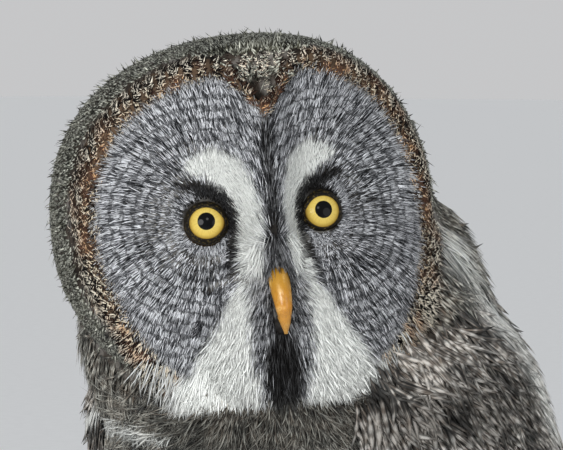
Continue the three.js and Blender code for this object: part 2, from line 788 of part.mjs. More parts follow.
function buildBody() {
  const headRoom = join([headShape(GAP), faceShape(40, FRINGE)]).transform(toBody);
  const torso = torsoShape().subtract(headRoom);
  const torsoRoom = torsoShape(GAP);
  const neck = neckShape().subtract(torsoRoom).subtract(headRoom);
  const tail = tailShape().trimByPlane([0, 0, 1], 0).subtract(torsoRoom);
  owl.add(mesh("torso", torso, PALE_PLUMAGE), mesh("neck", neck, PLUMAGE));
  owl.add(mesh("tail", tail, DARK_PLUMAGE));
  const wing = join([wingPad(), ...wingFeathers()]).subtract(torsoRoom).subtract(neckShape(GAP));
  const thigh = thighShape().subtract(torsoRoom);
  const tarsus = tarsusShape().subtract(thighShape(GAP));
  const foot = footShape();
  const mirrored = { left: (body) => body, right: (body) => body.mirror([1, 0, 0]) };
  for (const [side, turned] of Object.entries(mirrored)) {
    owl.add(
      mesh("wing_" + side, turned(wing).subtract(headRoom), DARK_PLUMAGE),
      mesh("thigh_" + side, turned(thigh), PLUMAGE),
      mesh("tarsus_" + side, turned(tarsus), PLUMAGE),
      mesh("foot_" + side, turned(foot), PLUMAGE),
    );
    TOES.forEach((toe, i) => {
      const claw = clawShape(toe).trimByPlane([0, 0, 1], 0);
      owl.add(mesh(`claw_${side}_${i + 1}`, turned(claw), CLAW));
    });
  }
}

buildHead();
buildBody();

// Puts the origin on the ground, under the middle of the bird's box
owl.updateMatrixWorld(true);
const box = new THREE.Box3().setFromObject(owl, true);
const middle = box.getCenter(vector(0, 0, 0));
owl.position.set(-middle.x, -middle.y, -box.min.z);

const root = new THREE.Group();
root.add(owl);
export default root;
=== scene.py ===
"""A great grey owl in the pose of the photograph: one skin under feathers of solid mesh.

Sizes are in millimetres, in the frame that part.mjs builds in, and become metres when a mesh is made.
The face has a frame of its own: +X towards the bird's left, -Y forward, +Z up, with the eye line at zero.
"""

import math

import bpy
import numpy as np
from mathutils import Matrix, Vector
from mathutils.kdtree import KDTree


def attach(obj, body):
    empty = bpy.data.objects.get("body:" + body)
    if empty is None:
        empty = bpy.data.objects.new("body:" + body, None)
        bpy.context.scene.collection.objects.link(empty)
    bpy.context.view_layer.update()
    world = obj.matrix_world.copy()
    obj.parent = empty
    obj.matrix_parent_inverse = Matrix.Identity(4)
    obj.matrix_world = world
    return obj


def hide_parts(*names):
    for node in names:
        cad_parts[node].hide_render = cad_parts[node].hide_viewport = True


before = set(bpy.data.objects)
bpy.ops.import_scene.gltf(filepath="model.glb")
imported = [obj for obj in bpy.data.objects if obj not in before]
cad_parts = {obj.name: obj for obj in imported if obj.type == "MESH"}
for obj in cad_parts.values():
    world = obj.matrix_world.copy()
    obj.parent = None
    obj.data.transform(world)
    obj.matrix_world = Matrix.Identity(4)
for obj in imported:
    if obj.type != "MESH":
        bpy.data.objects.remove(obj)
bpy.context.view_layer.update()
rng = np.random.default_rng(12)
SIDE_NAMES = {1: "left", -1: "right"}

# Place of the bird and of its head
TO_ROW = np.array([0.0, -117.707, 0.0])
HEAD_CENTRE = np.array([0.0, -40.0, 366.0])
HEAD_YAW = 54
HEAD_ROLL = 5.3
RIM_FORWARD = 40

# Head and face
HEAD_BACK = 108
HEAD_HALF_WIDTH = 95
HEAD_HALF_HEIGHT = 90
DISC_RADIUS = 86.5
DISC_CHIN_EXTRA = 7
DISC_BROW_LESS = 6
DISC_NOTCH = 25
DISC_NOTCH_SPREAD = 11
RIM_TOP_FORWARD = 37
RIM_CHIN_FORWARD = 20
FACE_FORWARD = 29
RIDGE_HEIGHT = 13
RIDGE_SPREAD = 12
RUFF_SHARE = 0.87
EYE_X = 26.5
EYE_RADIUS = 11.5
EYE_FORWARD = 14
EYE_OUTWARD = 12
EYE_TURN = {-1: 12, 1: 3}  # degrees that each eye looks outward
EYE_UP = 10  # degrees that both look up
LID_DEPTH = 6.8  # from the middle of the eyeball to the plane of its lids
ORBIT_FORWARD = 6
ORBIT_RADIUS = 16
IRIS_RADIUS = 8.2
PUPIL_RADIUS = 4.1
LID_WIDTH = 1.8
HEAD_SQUARENESS = 2.2  # the power of the head's outline: 2 would be an ellipse

# Depth of the coat on each form
FACE_COAT = 2.5
EYE_COAT = 0.7  # round the eyes, where the coat is thinnest
HEAD_COAT = 4
NECK_COAT = 6
TORSO_COAT = 6
THIGH_COAT = 4
TARSUS_COAT = 2.5
FOOT_COAT = 1.6
WING_COAT = 5

# How the meshes are made
LINE_SAMPLES = 600
VOXEL = 2.5
FLOOR_GAP = 0.2
PATCH = 0.003  # side of one tuft on the OFBake map
MAP_EDGE = 0.0005  # what the patches leave free along the edge of that map
MOST_TRIANGLES = 190000

FACE, HEAD, NECK, TORSO, THIGH, TARSUS, FOOT, WING, TAIL, RUFF = range(10)
SMOOTHING = {FACE: 1, HEAD: 5, NECK: 24, TORSO: 24, THIGH: 14, TARSUS: 3, FOOT: 1, WING: 14, TAIL: 20}


def ease(value, start, end):
    t = np.clip((value - start) / (end - start), 0, 1)
    return t * t * (3 - 2 * t)


def lerp(a, b, share):
    return a + (b - a) * share


def unit(vectors):
    return vectors / np.maximum(np.linalg.norm(vectors, axis=-1, keepdims=True), 1e-9)


def columns(*values):
    """Arrays or numbers side by side, as the columns of one array."""
    return np.stack(np.broadcast_arrays(*values), -1)


def once_round(count):
    """Angles evenly spaced round a circle."""
    return np.linspace(0, 2 * np.pi, count, endpoint=False)


def profile(rows, place):
    """Reads a smooth curve through rows of (place, value, ...)."""
    rows = np.array(rows, float)
    place = np.atleast_1d(np.asarray(place, float))
    index = np.clip(np.searchsorted(rows[:, 0], place, side="left") - 1, 0, len(rows) - 2)
    before, after = np.maximum(index - 1, 0), np.minimum(index + 2, len(rows) - 1)
    start, end = rows[index], rows[index + 1]
    t = np.clip((place - start[:, 0]) / (end[:, 0] - start[:, 0]), 0, 1)[:, None]
    slope_1 = (end - rows[before]) / 2
    slope_2 = (rows[after] - start) / 2
    value = (2 * t**3 - 3 * t**2 + 1) * start + (t**3 - 2 * t**2 + t) * slope_1
    value += (3 * t**2 - 2 * t**3) * end + (t**3 - t**2) * slope_2
    return value[:, 1:]


class Line:
    """A centripetal Catmull-Rom curve, the kind that part.mjs draws its forms along."""

    def __init__(self, points):
        points = np.array(points, float)
        padded = np.vstack([2 * points[0] - points[1], points, 2 * points[-1] - points[-2]])
        self.t = np.linspace(0, 1, LINE_SAMPLES)
        place = self.t * (len(points) - 1)
        index = np.minimum(place.astype(int), len(points) - 2)
        w = (place - index)[:, None]
        p0, p1, p2, p3 = (padded[index + k] for k in range(4))
        steps = (p1 - p0, p2 - p1, p3 - p2)
        d0, d1, d2 = (np.sqrt(np.linalg.norm(step, axis=1, keepdims=True)) for step in steps)
        start = ((p1 - p0) / d0 - (p2 - p0) / (d0 + d1) + (p2 - p1) / d1) * d1
        end = ((p2 - p1) / d1 - (p3 - p1) / (d1 + d2) + (p3 - p2) / d2) * d1
        self.points = p1 + start * w + (3 * (p2 - p1) - 2 * start - end) * w**2
        self.points += (2 * (p1 - p2) + start + end) * w**3
        steps = np.linalg.norm(np.diff(self.points, axis=0), axis=1)
        self.lengths = np.concatenate([[0], np.cumsum(steps)])
        self.tangents = unit(np.gradient(self.points, axis=0))

    def read(self, t):
        point = np.stack([np.interp(t, self.t, self.points[:, k]) for k in range(3)], -1)
        tangent = np.stack([np.interp(t, self.t, self.tangents[:, k]) for k in range(3)], -1)
        return point, unit(tangent)

    def read_by_length(self, share):
        return self.read(np.interp(share * self.lengths[-1], self.lengths, self.t))


def turn_z(degrees):
    c, s = math.cos(math.radians(degrees)), math.sin(math.radians(degrees))
    return np.array([[c, -s, 0], [s, c, 0], [0, 0, 1]])


def turn_y(degrees):
    c, s = math.cos(math.radians(degrees)), math.sin(math.radians(degrees))
    return np.array([[c, 0, s], [0, 1, 0], [-s, 0, c]])


HEAD_TURN = turn_z(HEAD_YAW) @ turn_y(-HEAD_ROLL)
FACE_START = np.array([0, -RIM_FORWARD, 0])


def face_to_body(points):
    return (points + FACE_START) @ HEAD_TURN.T + HEAD_CENTRE


def body_to_face(points):
    return (points - HEAD_CENTRE) @ HEAD_TURN - FACE_START


# The shape of the face


def disc_radius(angle):
    sine = np.sin(angle)
    from_top = 90 - np.degrees(np.arcsin(np.clip(sine, -1, 1)))
    notch = DISC_NOTCH * np.exp(-((from_top / DISC_NOTCH_SPREAD) ** 2))
    chin = DISC_CHIN_EXTRA * ease(-sine, 0.35, 0.85)
    return DISC_RADIUS + chin - DISC_BROW_LESS * ease(sine, 0.6, 1) - notch


def rim_forward(angle):
    height = np.degrees(np.arcsin(np.clip(np.sin(angle), -1, 1)))
    return RIM_TOP_FORWARD * ease(height, 25, 85) + RIM_CHIN_FORWARD * ease(-height, 5, 50)


def face_forward(angle, share):
    radius = share * disc_radius(angle)
    x, z = radius * np.cos(angle), radius * np.sin(angle)
    crest = np.exp(-((x / RIDGE_SPREAD) ** 2)) * (1 - 0.3 * ease(z, 25, 60)) * (1 - 0.75 * ease(-z, 46, 76))
    dish = 4 * np.sin(np.pi * share)
    rim = 3 * np.exp(-(((share - 0.95) / 0.07) ** 2))
    surface = lerp(FACE_FORWARD, rim_forward(angle), share**1.5) + RIDGE_HEIGHT * crest - dish + rim
    from_eye = np.abs(x) - EYE_X
    outward = math.radians(EYE_OUTWARD)
    orbit = EYE_FORWARD + (ORBIT_FORWARD - from_eye * math.sin(outward)) / math.cos(outward)
    return lerp(surface, orbit, np.exp(-((np.hypot(from_eye, z) / ORBIT_RADIUS) ** 4)))


def disc_share(x, z):
    return np.hypot(x, z) / disc_radius(np.arctan2(z, x))


def ring_points(angle, wide, tall, forward):
    """Points round the middle of the face, in its frame."""
    return columns(wide * np.cos(angle), -forward, tall * np.sin(angle))


# The forms under the skin: each is closed, and says which way its feathers lie


def grid_faces(rows, around):
    """The faces between closed rings of points."""
    faces = []
    for i in range(rows - 1):
        for j in range(around):
            k = (j + 1) % around
            faces.append((i * around + j, i * around + k, (i + 1) * around + k, (i + 1) * around + j))
    return faces


def turned_outward(points, faces):
    """The faces of a closed form, all turned over if they point in."""
    volume = 0.0
    for face in faces:
        for i in range(1, len(face) - 1):
            a, b, c = points[face[0]], points[face[i]], points[face[i + 1]]
            volume += np.dot(a, np.cross(b, c))
    return faces if volume > 0 else [tuple(face)[::-1] for face in faces]


class Form:
    def __init__(self, region, rings, flow=None, start_pole=None, end_pole=None):
        rings = np.asarray(rings, float)
        rows, around, _ = rings.shape
        if flow is None:
            flow = np.gradient(rings, axis=0)
        start = rings[0].mean(0) if start_pole is None else np.array(start_pole, float)
        end = rings[-1].mean(0) if end_pole is None else np.array(end_pole, float)
        self.region = region
        self.points = np.vstack([rings.reshape(-1, 3), start, end])
        self.flow = unit(np.vstack([flow.reshape(-1, 3), flow[0].mean(0), flow[-1].mean(0)]))
        self.faces = grid_faces(rows, around)
        last = (rows - 1) * around
        for j in range(around):
            k = (j + 1) % around
            self.faces.append((k, j, rows * around))
            self.faces.append((last + j, last + k, rows * around + 1))


def join_forms(forms):
    """The points and the faces of several forms as one, with the faces turned outward."""
    faces = []
    start = 0
    for form in forms:
        faces += [tuple(start + i for i in face) for face in turned_outward(form.points, form.faces)]
        start += len(form.points)
    return np.vstack([form.points for form in forms]), faces


def tube_rings(line, sizes, up, rows, around, wider=0.0):
    t = np.linspace(0, 1, rows)
    centre, along = line.read(t)
    across = unit(np.cross(np.array(up, float), along))
    over = unit(np.cross(along, across))
    half = profile(sizes, t) + wider
    angle = once_round(around)
    sideways = across[:, None] * (half[:, 0, None] * np.cos(angle))[..., None]
    return centre[:, None] + sideways + over[:, None] * (half[:, 1, None] * np.sin(angle))[..., None]


TORSO_LINE = Line([(0, 106, 112), (0, 64, 176), (0, 12, 256), (0, -36, 328)])
TORSO_SIZES = [  # along the line, half width and half depth
    (0, 30, 24), (0.12, 62, 52), (0.3, 89, 80), (0.52, 102, 96), (0.72, 101, 97), (0.88, 91, 86),
    (1, 62, 60),
]
NECK_LINE = Line([(0, 20, 268), (0, 0, 301), (0, -21, 334), (0, -42, 378)])
NECK_SIZES = [(0, 95, 92), (0.33, 101, 98), (0.66, 99, 96), (0.86, 88, 86), (1, 62, 60)]
THIGH_LINE = [(48, 36, 154), (46, 28, 104), (42, 30, 60)]
THIGH_SIZES = [(0, 36, 50), (0.45, 36, 46), (0.8, 27, 32), (1, 16, 18)]
TARSUS_LINE = [(42, 30, 72), (42, 24, 44), (42, 14, 12)]
TARSUS_SIZES = [(0, 15, 16), (0.5, 14, 14.5), (1, 12, 12)]
HEAD_ROWS = [(0, 0.925), (0.13, 0.975), (0.3, 1), (0.5, 0.98), (0.68, 0.91), (0.84, 0.75), (0.95, 0.45)]
LEG_X = 42
FOOT_Y = 10
FOOT_RADIUS = 13
FOOT_MIDDLE = 8  # over the ground
FOOT_FLATNESS = 0.8
TOE_RADIUS = 7.5
CLAW_LENGTH = 20
TOES = [(192, 30), (-20, 44), (10, 50), (58, 42)]  # degrees outward from straight ahead, length

BED_LINE = Line([(0, -36, 328), (0, 12, 256), (0, 64, 182), (0, 130, 122), (0, 215, 72), (0, 310, 26)])
BED_SIZES = [
    (0, 84, 80), (0.1, 98, 93), (0.2, 102, 97), (0.32, 100, 92), (0.45, 84, 68), (0.6, 62, 46),
    (0.8, 42, 38), (1, 32, 34),
]
PAD_ALONG = 76
PAD_HALF_ALONG = 70
PAD_DEGREES = 18
PAD_HALF_DEGREES = 52
PAD_HEIGHT = 13
TAIL_ROOT = np.array([0, 106, 112.0])
TAIL_LENGTH = 290
TAIL_FAN = 12
TAIL_DROP = math.asin(TAIL_ROOT[2] / (TAIL_LENGTH + 4))
TAIL_ALONG = np.array([0, math.cos(TAIL_DROP), -math.sin(TAIL_DROP)])
TAIL_OVER = np.array([0, math.sin(TAIL_DROP), math.cos(TAIL_DROP)])


def bed_point(along, degrees, offset, side=1):
    """A point by the folded wing: along the back from the neck, degrees over the widest line, offset."""
    along, degrees, offset = np.broadcast_arrays(*(np.asarray(v, float) for v in (along, degrees, offset)))
    share = np.clip(along / BED_LINE.lengths[-1], 0, 1)
    centre, tangent = BED_LINE.read_by_length(share.ravel())
    over = unit(columns(0, -tangent[:, 2], tangent[:, 1]))
    half = profile(BED_SIZES, share.ravel())
    angle = np.radians(degrees.ravel())
    out = (half[:, 0] + offset.ravel()) * np.cos(angle)
    rise = (half[:, 1] + offset.ravel()) * np.sin(angle)
    point = centre + columns(out * side, 0, 0) + over * rise[:, None]
    return point.reshape(along.shape + (3,))


def tail_point(along, across, over):
    along, across, over = np.broadcast_arrays(*(np.asarray(v, float) for v in (along, across, over)))
    point = TAIL_ROOT + along[..., None] * TAIL_ALONG + over[..., None] * TAIL_OVER
    return point + across[..., None] * np.array([1.0, 0, 0])


def face_form():
    angle = once_round(120)
    shares = np.linspace(1, 0.05, 26)[:, None]
    radius = shares * disc_radius(angle)
    eye = np.hypot(np.abs(radius * np.cos(angle)) - EYE_X, radius * np.sin(angle))
    forward = face_forward(angle, shares) - lerp(FACE_COAT, EYE_COAT, np.exp(-((eye / 14) ** 4)))
    radius = radius - 1.5 * shares
    edge = disc_radius(angle) - 3
    front = ring_points(angle, radius, radius, forward)
    back = ring_points(angle, edge, edge, rim_forward(angle) - 8)[None]
    middle = face_forward(0.0, 0.0) - FACE_COAT
    poles = face_to_body(np.array([[0, -FACE_FORWARD + 16.0, 0], [0, -middle, 0]]))
    return Form(FACE, face_to_body(np.vstack([back, front])), start_pole=poles[0], end_pole=poles[1])


def head_form():
    angle = once_round(96)
    back = np.linspace(0, 0.95, 26)
    wide = profile(HEAD_ROWS, back)
    forward = lerp(rim_forward(angle), -HEAD_BACK + HEAD_COAT, back[:, None])
    square = np.abs(np.cos(angle)) ** HEAD_SQUARENESS + np.abs(np.sin(angle)) ** HEAD_SQUARENESS
    square = square ** (-1 / HEAD_SQUARENESS)
    half = HEAD_HALF_WIDTH * wide * square - HEAD_COAT
    tall = HEAD_HALF_HEIGHT * wide * square - HEAD_COAT
    rings = face_to_body(ring_points(angle, half, tall, forward))
    flow = unit(np.gradient(rings, axis=0)) + np.array([0, 0, -0.35])
    poles = face_to_body(np.array([[0, -FACE_FORWARD + 10.0, 0], [0, HEAD_BACK - HEAD_COAT, 0]]))
    return Form(HEAD, rings, flow, poles[0], poles[1])


def wing_pad_form(side):
    angle = once_round(64)
    rows = [(0.5, -16), (0.9, -14), (1, -5.5)]
    rows += [(s, (PAD_HEIGHT - 1) * math.sqrt(1 - s**2.4) - WING_COAT) for s in np.linspace(0.97, 0.06, 18)]
    rings = []
    flows = []
    for share, offset in rows:
        along = PAD_ALONG + PAD_HALF_ALONG * share * np.cos(angle)
        degrees = PAD_DEGREES + PAD_HALF_DEGREES * share * np.sin(angle)
        rings.append(bed_point(along, degrees, offset, side))
        later, earlier = (bed_point(along + step, degrees, offset, side) for step in (3, -3))
        flows.append(later - earlier)
    return Form(WING, rings, unit(np.array(flows)))


def mirrored(points, side):
    return np.asarray(points, float) * np.array([side, 1, 1])


def leg_forms(side):
    thigh = tube_rings(Line(mirrored(THIGH_LINE, side)), THIGH_SIZES, (0, 1, 0), 18, 40, -THIGH_COAT)
    tarsus = tube_rings(Line(mirrored(TARSUS_LINE, side)), TARSUS_SIZES, (0, 1, 0), 16, 28, -TARSUS_COAT)
    forms = [Form(THIGH, thigh), Form(TARSUS, tarsus)]
    level = np.linspace(-1, 1, 12)[1:-1, None]
    angle = once_round(28)
    radius = (FOOT_RADIUS - FOOT_COAT) * np.sqrt(1 - level**2)
    height = FOOT_MIDDLE - FOOT_FLATNESS * (FOOT_RADIUS - FOOT_COAT) * level
    foot = columns(side * LEG_X + radius * np.cos(angle), FOOT_Y + radius * np.sin(angle), height)
    flow = columns(np.cos(angle), np.sin(angle), np.full(radius.shape, -FOOT_FLATNESS))
    forms.append(Form(FOOT, foot, unit(flow)))
    sizes = [(0, TOE_RADIUS + 1), (0.45, TOE_RADIUS), (0.85, TOE_RADIUS - 0.5), (1, TOE_RADIUS - 3.5)]
    for toe in TOES:
        line = Line([toe_point(toe, toe[1] * s, TOE_RADIUS - 1.2 - 0.6 * s, side) for s, _ in sizes])
        toe_rings = tube_rings(line, [(s, r, r) for s, r in sizes], (0, 0, 1), 12, 20, -FOOT_COAT)
        forms.append(Form(FOOT, toe_rings))
    return forms


def toe_point(toe, distance, height, side):
    angle = math.radians(toe[0])
    return (side * (LEG_X + distance * math.sin(angle)), FOOT_Y - distance * math.cos(angle), height)


def tail_root_form():
    line = Line([tail_point(-14, 0, 0), tail_point(20, 0, 0), tail_point(64, 0, -1)])
    sizes = [(0, 26, 18), (0.35, 34, 17), (0.75, 30, 10), (1, 16, 4)]
    return Form(TAIL, tube_rings(line, sizes, (0, 0, 1), 14, 36, -2.5))


def body_forms():
    torso = tube_rings(TORSO_LINE, TORSO_SIZES, (0, 1, 0.6), 40, 72, -TORSO_COAT)
    neck = tube_rings(NECK_LINE, NECK_SIZES, (0, 1, 0.6), 24, 72, -NECK_COAT)
    forms = [face_form(), head_form(), tail_root_form()]
    forms.append(Form(TORSO, torso, -unit(np.gradient(torso, axis=0))))
    forms.append(Form(NECK, neck, -unit(np.gradient(neck, axis=0))))
    for side in (-1, 1):
        forms += leg_forms(side)
        forms.append(wing_pad_form(side))
    return forms


# Meshes


def to_metres(points):
    return (points + TO_ROW) * 0.001


def above_floor(points):
    return np.column_stack([points[:, :2], np.maximum(points[:, 2], FLOOR_GAP)])


def add_object(name, data):
    thing = bpy.data.objects.new(name, data)
    bpy.context.scene.collection.objects.link(thing)
    return thing


def build_mesh(name, points, faces):
    mesh = bpy.data.meshes.new(name)
    mesh.from_pydata(to_metres(above_floor(points)).tolist(), [], faces)
    mesh.update()
    mesh.shade_smooth()
    return add_object(name, mesh)


def triangle_mesh(name, points, triangles):
    """A mesh of many triangles, made from arrays."""
    mesh = bpy.data.meshes.new(name)
    mesh.vertices.add(len(points))
    mesh.vertices.foreach_set("co", to_metres(above_floor(points)).astype(np.float32).ravel())
    mesh.loops.add(triangles.size)
    mesh.loops.foreach_set("vertex_index", triangles.astype(np.int32).ravel())
    mesh.polygons.add(len(triangles))
    mesh.polygons.foreach_set("loop_start", np.arange(0, triangles.size, 3, dtype=np.int32))
    mesh.update(calc_edges=True)
    mesh.shade_smooth()
    return add_object(name, mesh)


def write_attribute(mesh, name, values):
    attribute = mesh.attributes.new(name, "FLOAT_COLOR", "POINT")
    attribute.data.foreach_set("color", values.astype(np.float32).ravel())


def read_array(items, name, width, kind=np.float32):
    """One property of many items of a mesh, as rows."""
    values = np.empty(len(items) * width, kind)
    items.foreach_get(name, values)
    return values.reshape(-1, width)


def plumage_piece(name, points, triangles, uv, lie, marks, material):
    """A piece of the coat, with its place on the OFBake map and what its material reads."""
    piece = triangle_mesh(name, points, triangles)
    mesh = piece.data
    layer = mesh.uv_layers.new(name="OFBake")
    layer.data.foreach_set("uv", uv[triangles.ravel()].astype(np.float32).ravel())
    write_attribute(mesh, "lie", lie)
    write_attribute(mesh, "marks", marks)
    mesh.materials.append(material)
    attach(piece, "root")
    return piece


class Skin:
    """The forms as one closed surface, with what the coat reads at each of its points."""

    def __init__(self, forms):
        rough = build_mesh("skin_forms", *join_forms(forms))
        remesh = rough.modifiers.new("remesh", "REMESH")
        remesh.mode = "VOXEL"
        remesh.voxel_size = VOXEL * 0.001
        graph = bpy.context.evaluated_depsgraph_get()
        mesh = bpy.data.meshes.new_from_object(rough.evaluated_get(graph))
        mesh.name = "skin"
        bpy.data.objects.remove(rough)
        mesh.shade_smooth()
        self.piece = add_object("skin", mesh)
        self.sort(forms)
        self.relax()
        self.unwrap()
        self.read()

    def sort(self, forms):
        """Finds which form each point belongs to, and which way its feathers lie there."""
        self.points = read_array(self.piece.data.vertices, "co", 3) * 1000.0 - TO_ROW
        tree = KDTree(sum(len(form.points) for form in forms))
        regions = []
        for form in forms:
            for point in form.points:
                tree.insert(point, len(regions))
                regions.append(form.region)
        tree.balance()
        nearest = np.array([tree.find(point)[1] for point in self.points])
        self.regions = np.array(regions)[nearest]
        self.flows = np.vstack([form.flow for form in forms])[nearest]
        local = body_to_face(self.points)
        angle = np.arctan2(local[:, 2], local[:, 0])
        share = disc_share(local[:, 0], local[:, 2])
        front = -local[:, 1] > face_forward(angle, np.minimum(share, 1)) - 9
        on_disc = (share < 1.03) & front & (self.regions <= NECK)
        self.regions[(self.regions == FACE) & ~on_disc] = HEAD
        self.regions[on_disc] = FACE

    def relax(self):
        """Smooths the steps where two forms meet, most of all on the body."""
        mesh = self.piece.data
        a, b = read_array(mesh.edges, "vertices", 2, np.int32).T
        count = len(self.points)
        joined = np.bincount(a, minlength=count) + np.bincount(b, minlength=count)
        rounds = np.array([SMOOTHING[region] for region in sorted(SMOOTHING)])[self.regions]

        def of_neighbours(values):
            return np.bincount(a, values[b], count) + np.bincount(b, values[a], count)

        for turn in range(rounds.max()):
            total = columns(*(of_neighbours(self.points[:, k]) for k in range(3)))
            self.flows += 0.5 * columns(*(of_neighbours(self.flows[:, k]) / joined for k in range(3)))
            self.flows = unit(self.flows)
            active = turn < rounds
            self.points[active] = lerp(self.points, total / joined[:, None], 0.5)[active]
        mesh.vertices.foreach_set("co", to_metres(self.points).astype(np.float32).ravel())
        mesh.update()

    def unwrap(self):
        self.piece.data.uv_layers.new(name="OFBake")
        bpy.context.view_layer.objects.active = self.piece
        self.piece.select_set(True)
        bpy.ops.object.mode_set(mode="EDIT")
        bpy.ops.mesh.select_all(action="SELECT")
        bpy.ops.uv.smart_project(angle_limit=math.radians(75), island_margin=0.004)
        bpy.ops.object.mode_set(mode="OBJECT")

    def read(self):
        mesh = self.piece.data
        mesh.calc_loop_triangles()
        self.normals = read_array(mesh.vertex_normals, "vector", 3)
        self.triangles = read_array(mesh.loop_triangles, "vertices", 3, np.int32)
        corners = read_array(mesh.loop_triangles, "loops", 3, np.int32)
        self.uvs = read_array(mesh.uv_layers["OFBake"].data, "uv", 2)[corners]
        a, b, c = (self.points[self.triangles[:, k]] for k in range(3))
        self.areas = np.linalg.norm(np.cross(b - a, c - a), axis=1) / 2


class Roots:
    """Places on the skin from which tufts grow."""

    def __init__(self, skin, weight, count):
        areas = skin.areas * weight[skin.triangles].mean(1)
        total = np.cumsum(areas)
        pick = (np.arange(count) + rng.random(count)) / count * total[-1]
        triangle = np.searchsorted(total, pick)
        a, b = rng.random(count), rng.random(count)
        over = a + b > 1
        a[over], b[over] = 1 - a[over], 1 - b[over]
        share = np.stack([1 - a - b, a, b], -1)[..., None]
        corner = skin.triangles[triangle]
        self.point = (skin.points[corner] * share).sum(1)
        self.normal = unit((skin.normals[corner] * share).sum(1))
        self.flow = (skin.flows[corner] * share).sum(1)
        self.uv = (skin.uvs[triangle] * share).sum(1)
        self.face = body_to_face(self.point)

    def keep(self, mask):
        for name in ("point", "normal", "flow", "uv", "face"):
            setattr(self, name, getattr(self, name)[mask])

    def on_face(self):
        """Where the roots are in the plane of the face."""
        return self.face[:, 0], self.face[:, 2]

    def __len__(self):
        return len(self.point)


def tangent(vectors, normals):
    return unit(vectors - normals * (vectors * normals).sum(-1, keepdims=True))


TUFT_RISE = 0.15  # height of a tuft's ridge over its width
TUFT_OUTLINES = {1: [(0.4, 1)], 2: [(0.25, 0.85), (0.65, 0.9)]}  # share of the length and of the width


def tuft_pattern(rings):
    """The triangles of one tuft: three at its root, sides between its rings, three at its tip."""
    pattern = [(0, 3, 1), (0, 2, 3), (0, 1, 2)]
    for i in range(rings - 1):
        a, b = 1 + 3 * i, 4 + 3 * i
        for left, right in ((0, 2), (2, 1), (1, 0)):
            pattern += [(a + left, a + right, b + right), (a + left, b + right, b + left)]
    a = 1 + 3 * (rings - 1)
    tip = a + 3
    return np.array(pattern + [(a, a + 2, tip), (a + 2, a + 1, tip), (a + 1, a, tip)])


def grow(name, material, roots, direction, length, width, lift_and_shade, droop, rings, region,
         bend=0.15, sink=1.0):
    """Grows closed leaves, each a root, rings of left, right and top, and a tip, as one or more pieces."""
    count = len(roots)
    lift, shade = lift_and_shade
    direction = tangent(direction, roots.normal)
    across = unit(np.cross(roots.normal, direction))
    sway = rng.normal(0, bend, count)

    def spine(s):
        rise = length * (lift * s - droop * s * s) - sink * (1 - s)
        aside = length * sway * s * s
        point = roots.point + direction * (length * s)[:, None]
        return point + roots.normal * rise[:, None] + across * aside[:, None]

    places, lie = [spine(0.0)], [(0.0, 0.5)]
    for s, wide in TUFT_OUTLINES[rings]:
        centre = spine(s)
        half = across * (width * wide / 2)[:, None]
        top = centre + roots.normal * (width * wide * TUFT_RISE)[:, None]
        places += [centre - half, centre + half, top]
        lie += [(s, 0.0), (s, 1.0), (s, 0.5)]
    places.append(spine(1.0))
    lie.append((1.0, 0.5))
    points = np.stack(places, 1)
    each = points.shape[1]
    along, aside = (np.broadcast_to(values, (count, each)) for values in np.array(lie).T)
    uv = np.clip(roots.uv[:, None] + columns(aside - 0.5, along - 0.5) * PATCH, MAP_EDGE, 1 - MAP_EDGE)
    _, phase = markings(points.reshape(-1, 3), region)
    stray = rng.normal(0, 0.9, (count, 1, 3))
    marks, _ = markings((lerp(points.mean(1, keepdims=True), points, 0.4) + stray).reshape(-1, 3), region)
    lie = columns(along, aside, shade[:, None], phase.reshape(count, each))
    marks = marks.reshape(count, each, 4)
    pattern = tuft_pattern(rings)
    parts = math.ceil(count * len(pattern) / MOST_TRIANGLES)
    for i in range(parts):
        part = slice(count * i // parts, count * (i + 1) // parts)
        starts = np.arange(part.stop - part.start)[:, None, None] * each
        label = name if parts == 1 else f"{name}_{i + 1}"
        plumage_piece(label, points[part].reshape(-1, 3), (starts + pattern).reshape(-1, 3),
                      uv[part].reshape(-1, 2), lie[part], marks[part], material)


# Markings: how pale, how dark, how warm and how barred the coat is at a point, and the phase of its bars

# The paths are in the plane of the face: how far from its middle, how far over the eyes, half width
BROW = [
    (16, -42, 3), (11.5, -30, 4.5), (10.5, -16, 5.2), (9.8, -4, 5.2), (9.6, 6, 5.2), (12, 13.5, 6),
    (16.5, 22, 7.8), (23, 27.3, 7), (30, 27, 4.4),
]
BOW_TIE = [(12, -29, 4), (18.5, -40, 6.5), (21.5, -52, 9), (24.5, -62, 11.5), (27.5, -71, 14), (30, -79, 16)]
EYE_SHADOW = [
    (19.5, -25, 1.2), (18, -17, 1.8), (16.4, -9, 2), (15.4, -1, 2.2), (16.2, 6, 2.9), (19.5, 10.8, 3.6),
    (24.5, 14.2, 3.9), (31, 16.8, 3.2), (38, 18.8, 1.6),
]
PALE_LOCK = [(-50, -100, 2), (-60, -98, 3.5), (-71, -94, 3.5), (-80, -90, 2)]
STRIPE_DEGREES = 37  # where the pale line of the shoulder runs, from straight out to straight back
SHADOW_DARKNESS = 0.97
RING_STEP = 5.2  # from one ring of the disc to the next
HEAD_BAR_STEP = 3.2
LEG_BAR_STEP = 5.0
BODY_BAR_STEP = 7.0
FAR = 9.0  # counts as beyond any path


def near_path(x, z, path):
    """0 on a path of (x, z, half width), 1 at its half width."""
    best = np.full(np.shape(x), FAR)
    for (x1, z1, w1), (x2, z2, w2) in zip(path, path[1:]):
        dx, dz = x2 - x1, z2 - z1
        t = np.clip(((x - x1) * dx + (z - z1) * dz) / (dx * dx + dz * dz), 0, 1)
        best = np.minimum(best, np.hypot(x - x1 - t * dx, z - z1 - t * dz) / (w1 + (w2 - w1) * t))
    return best


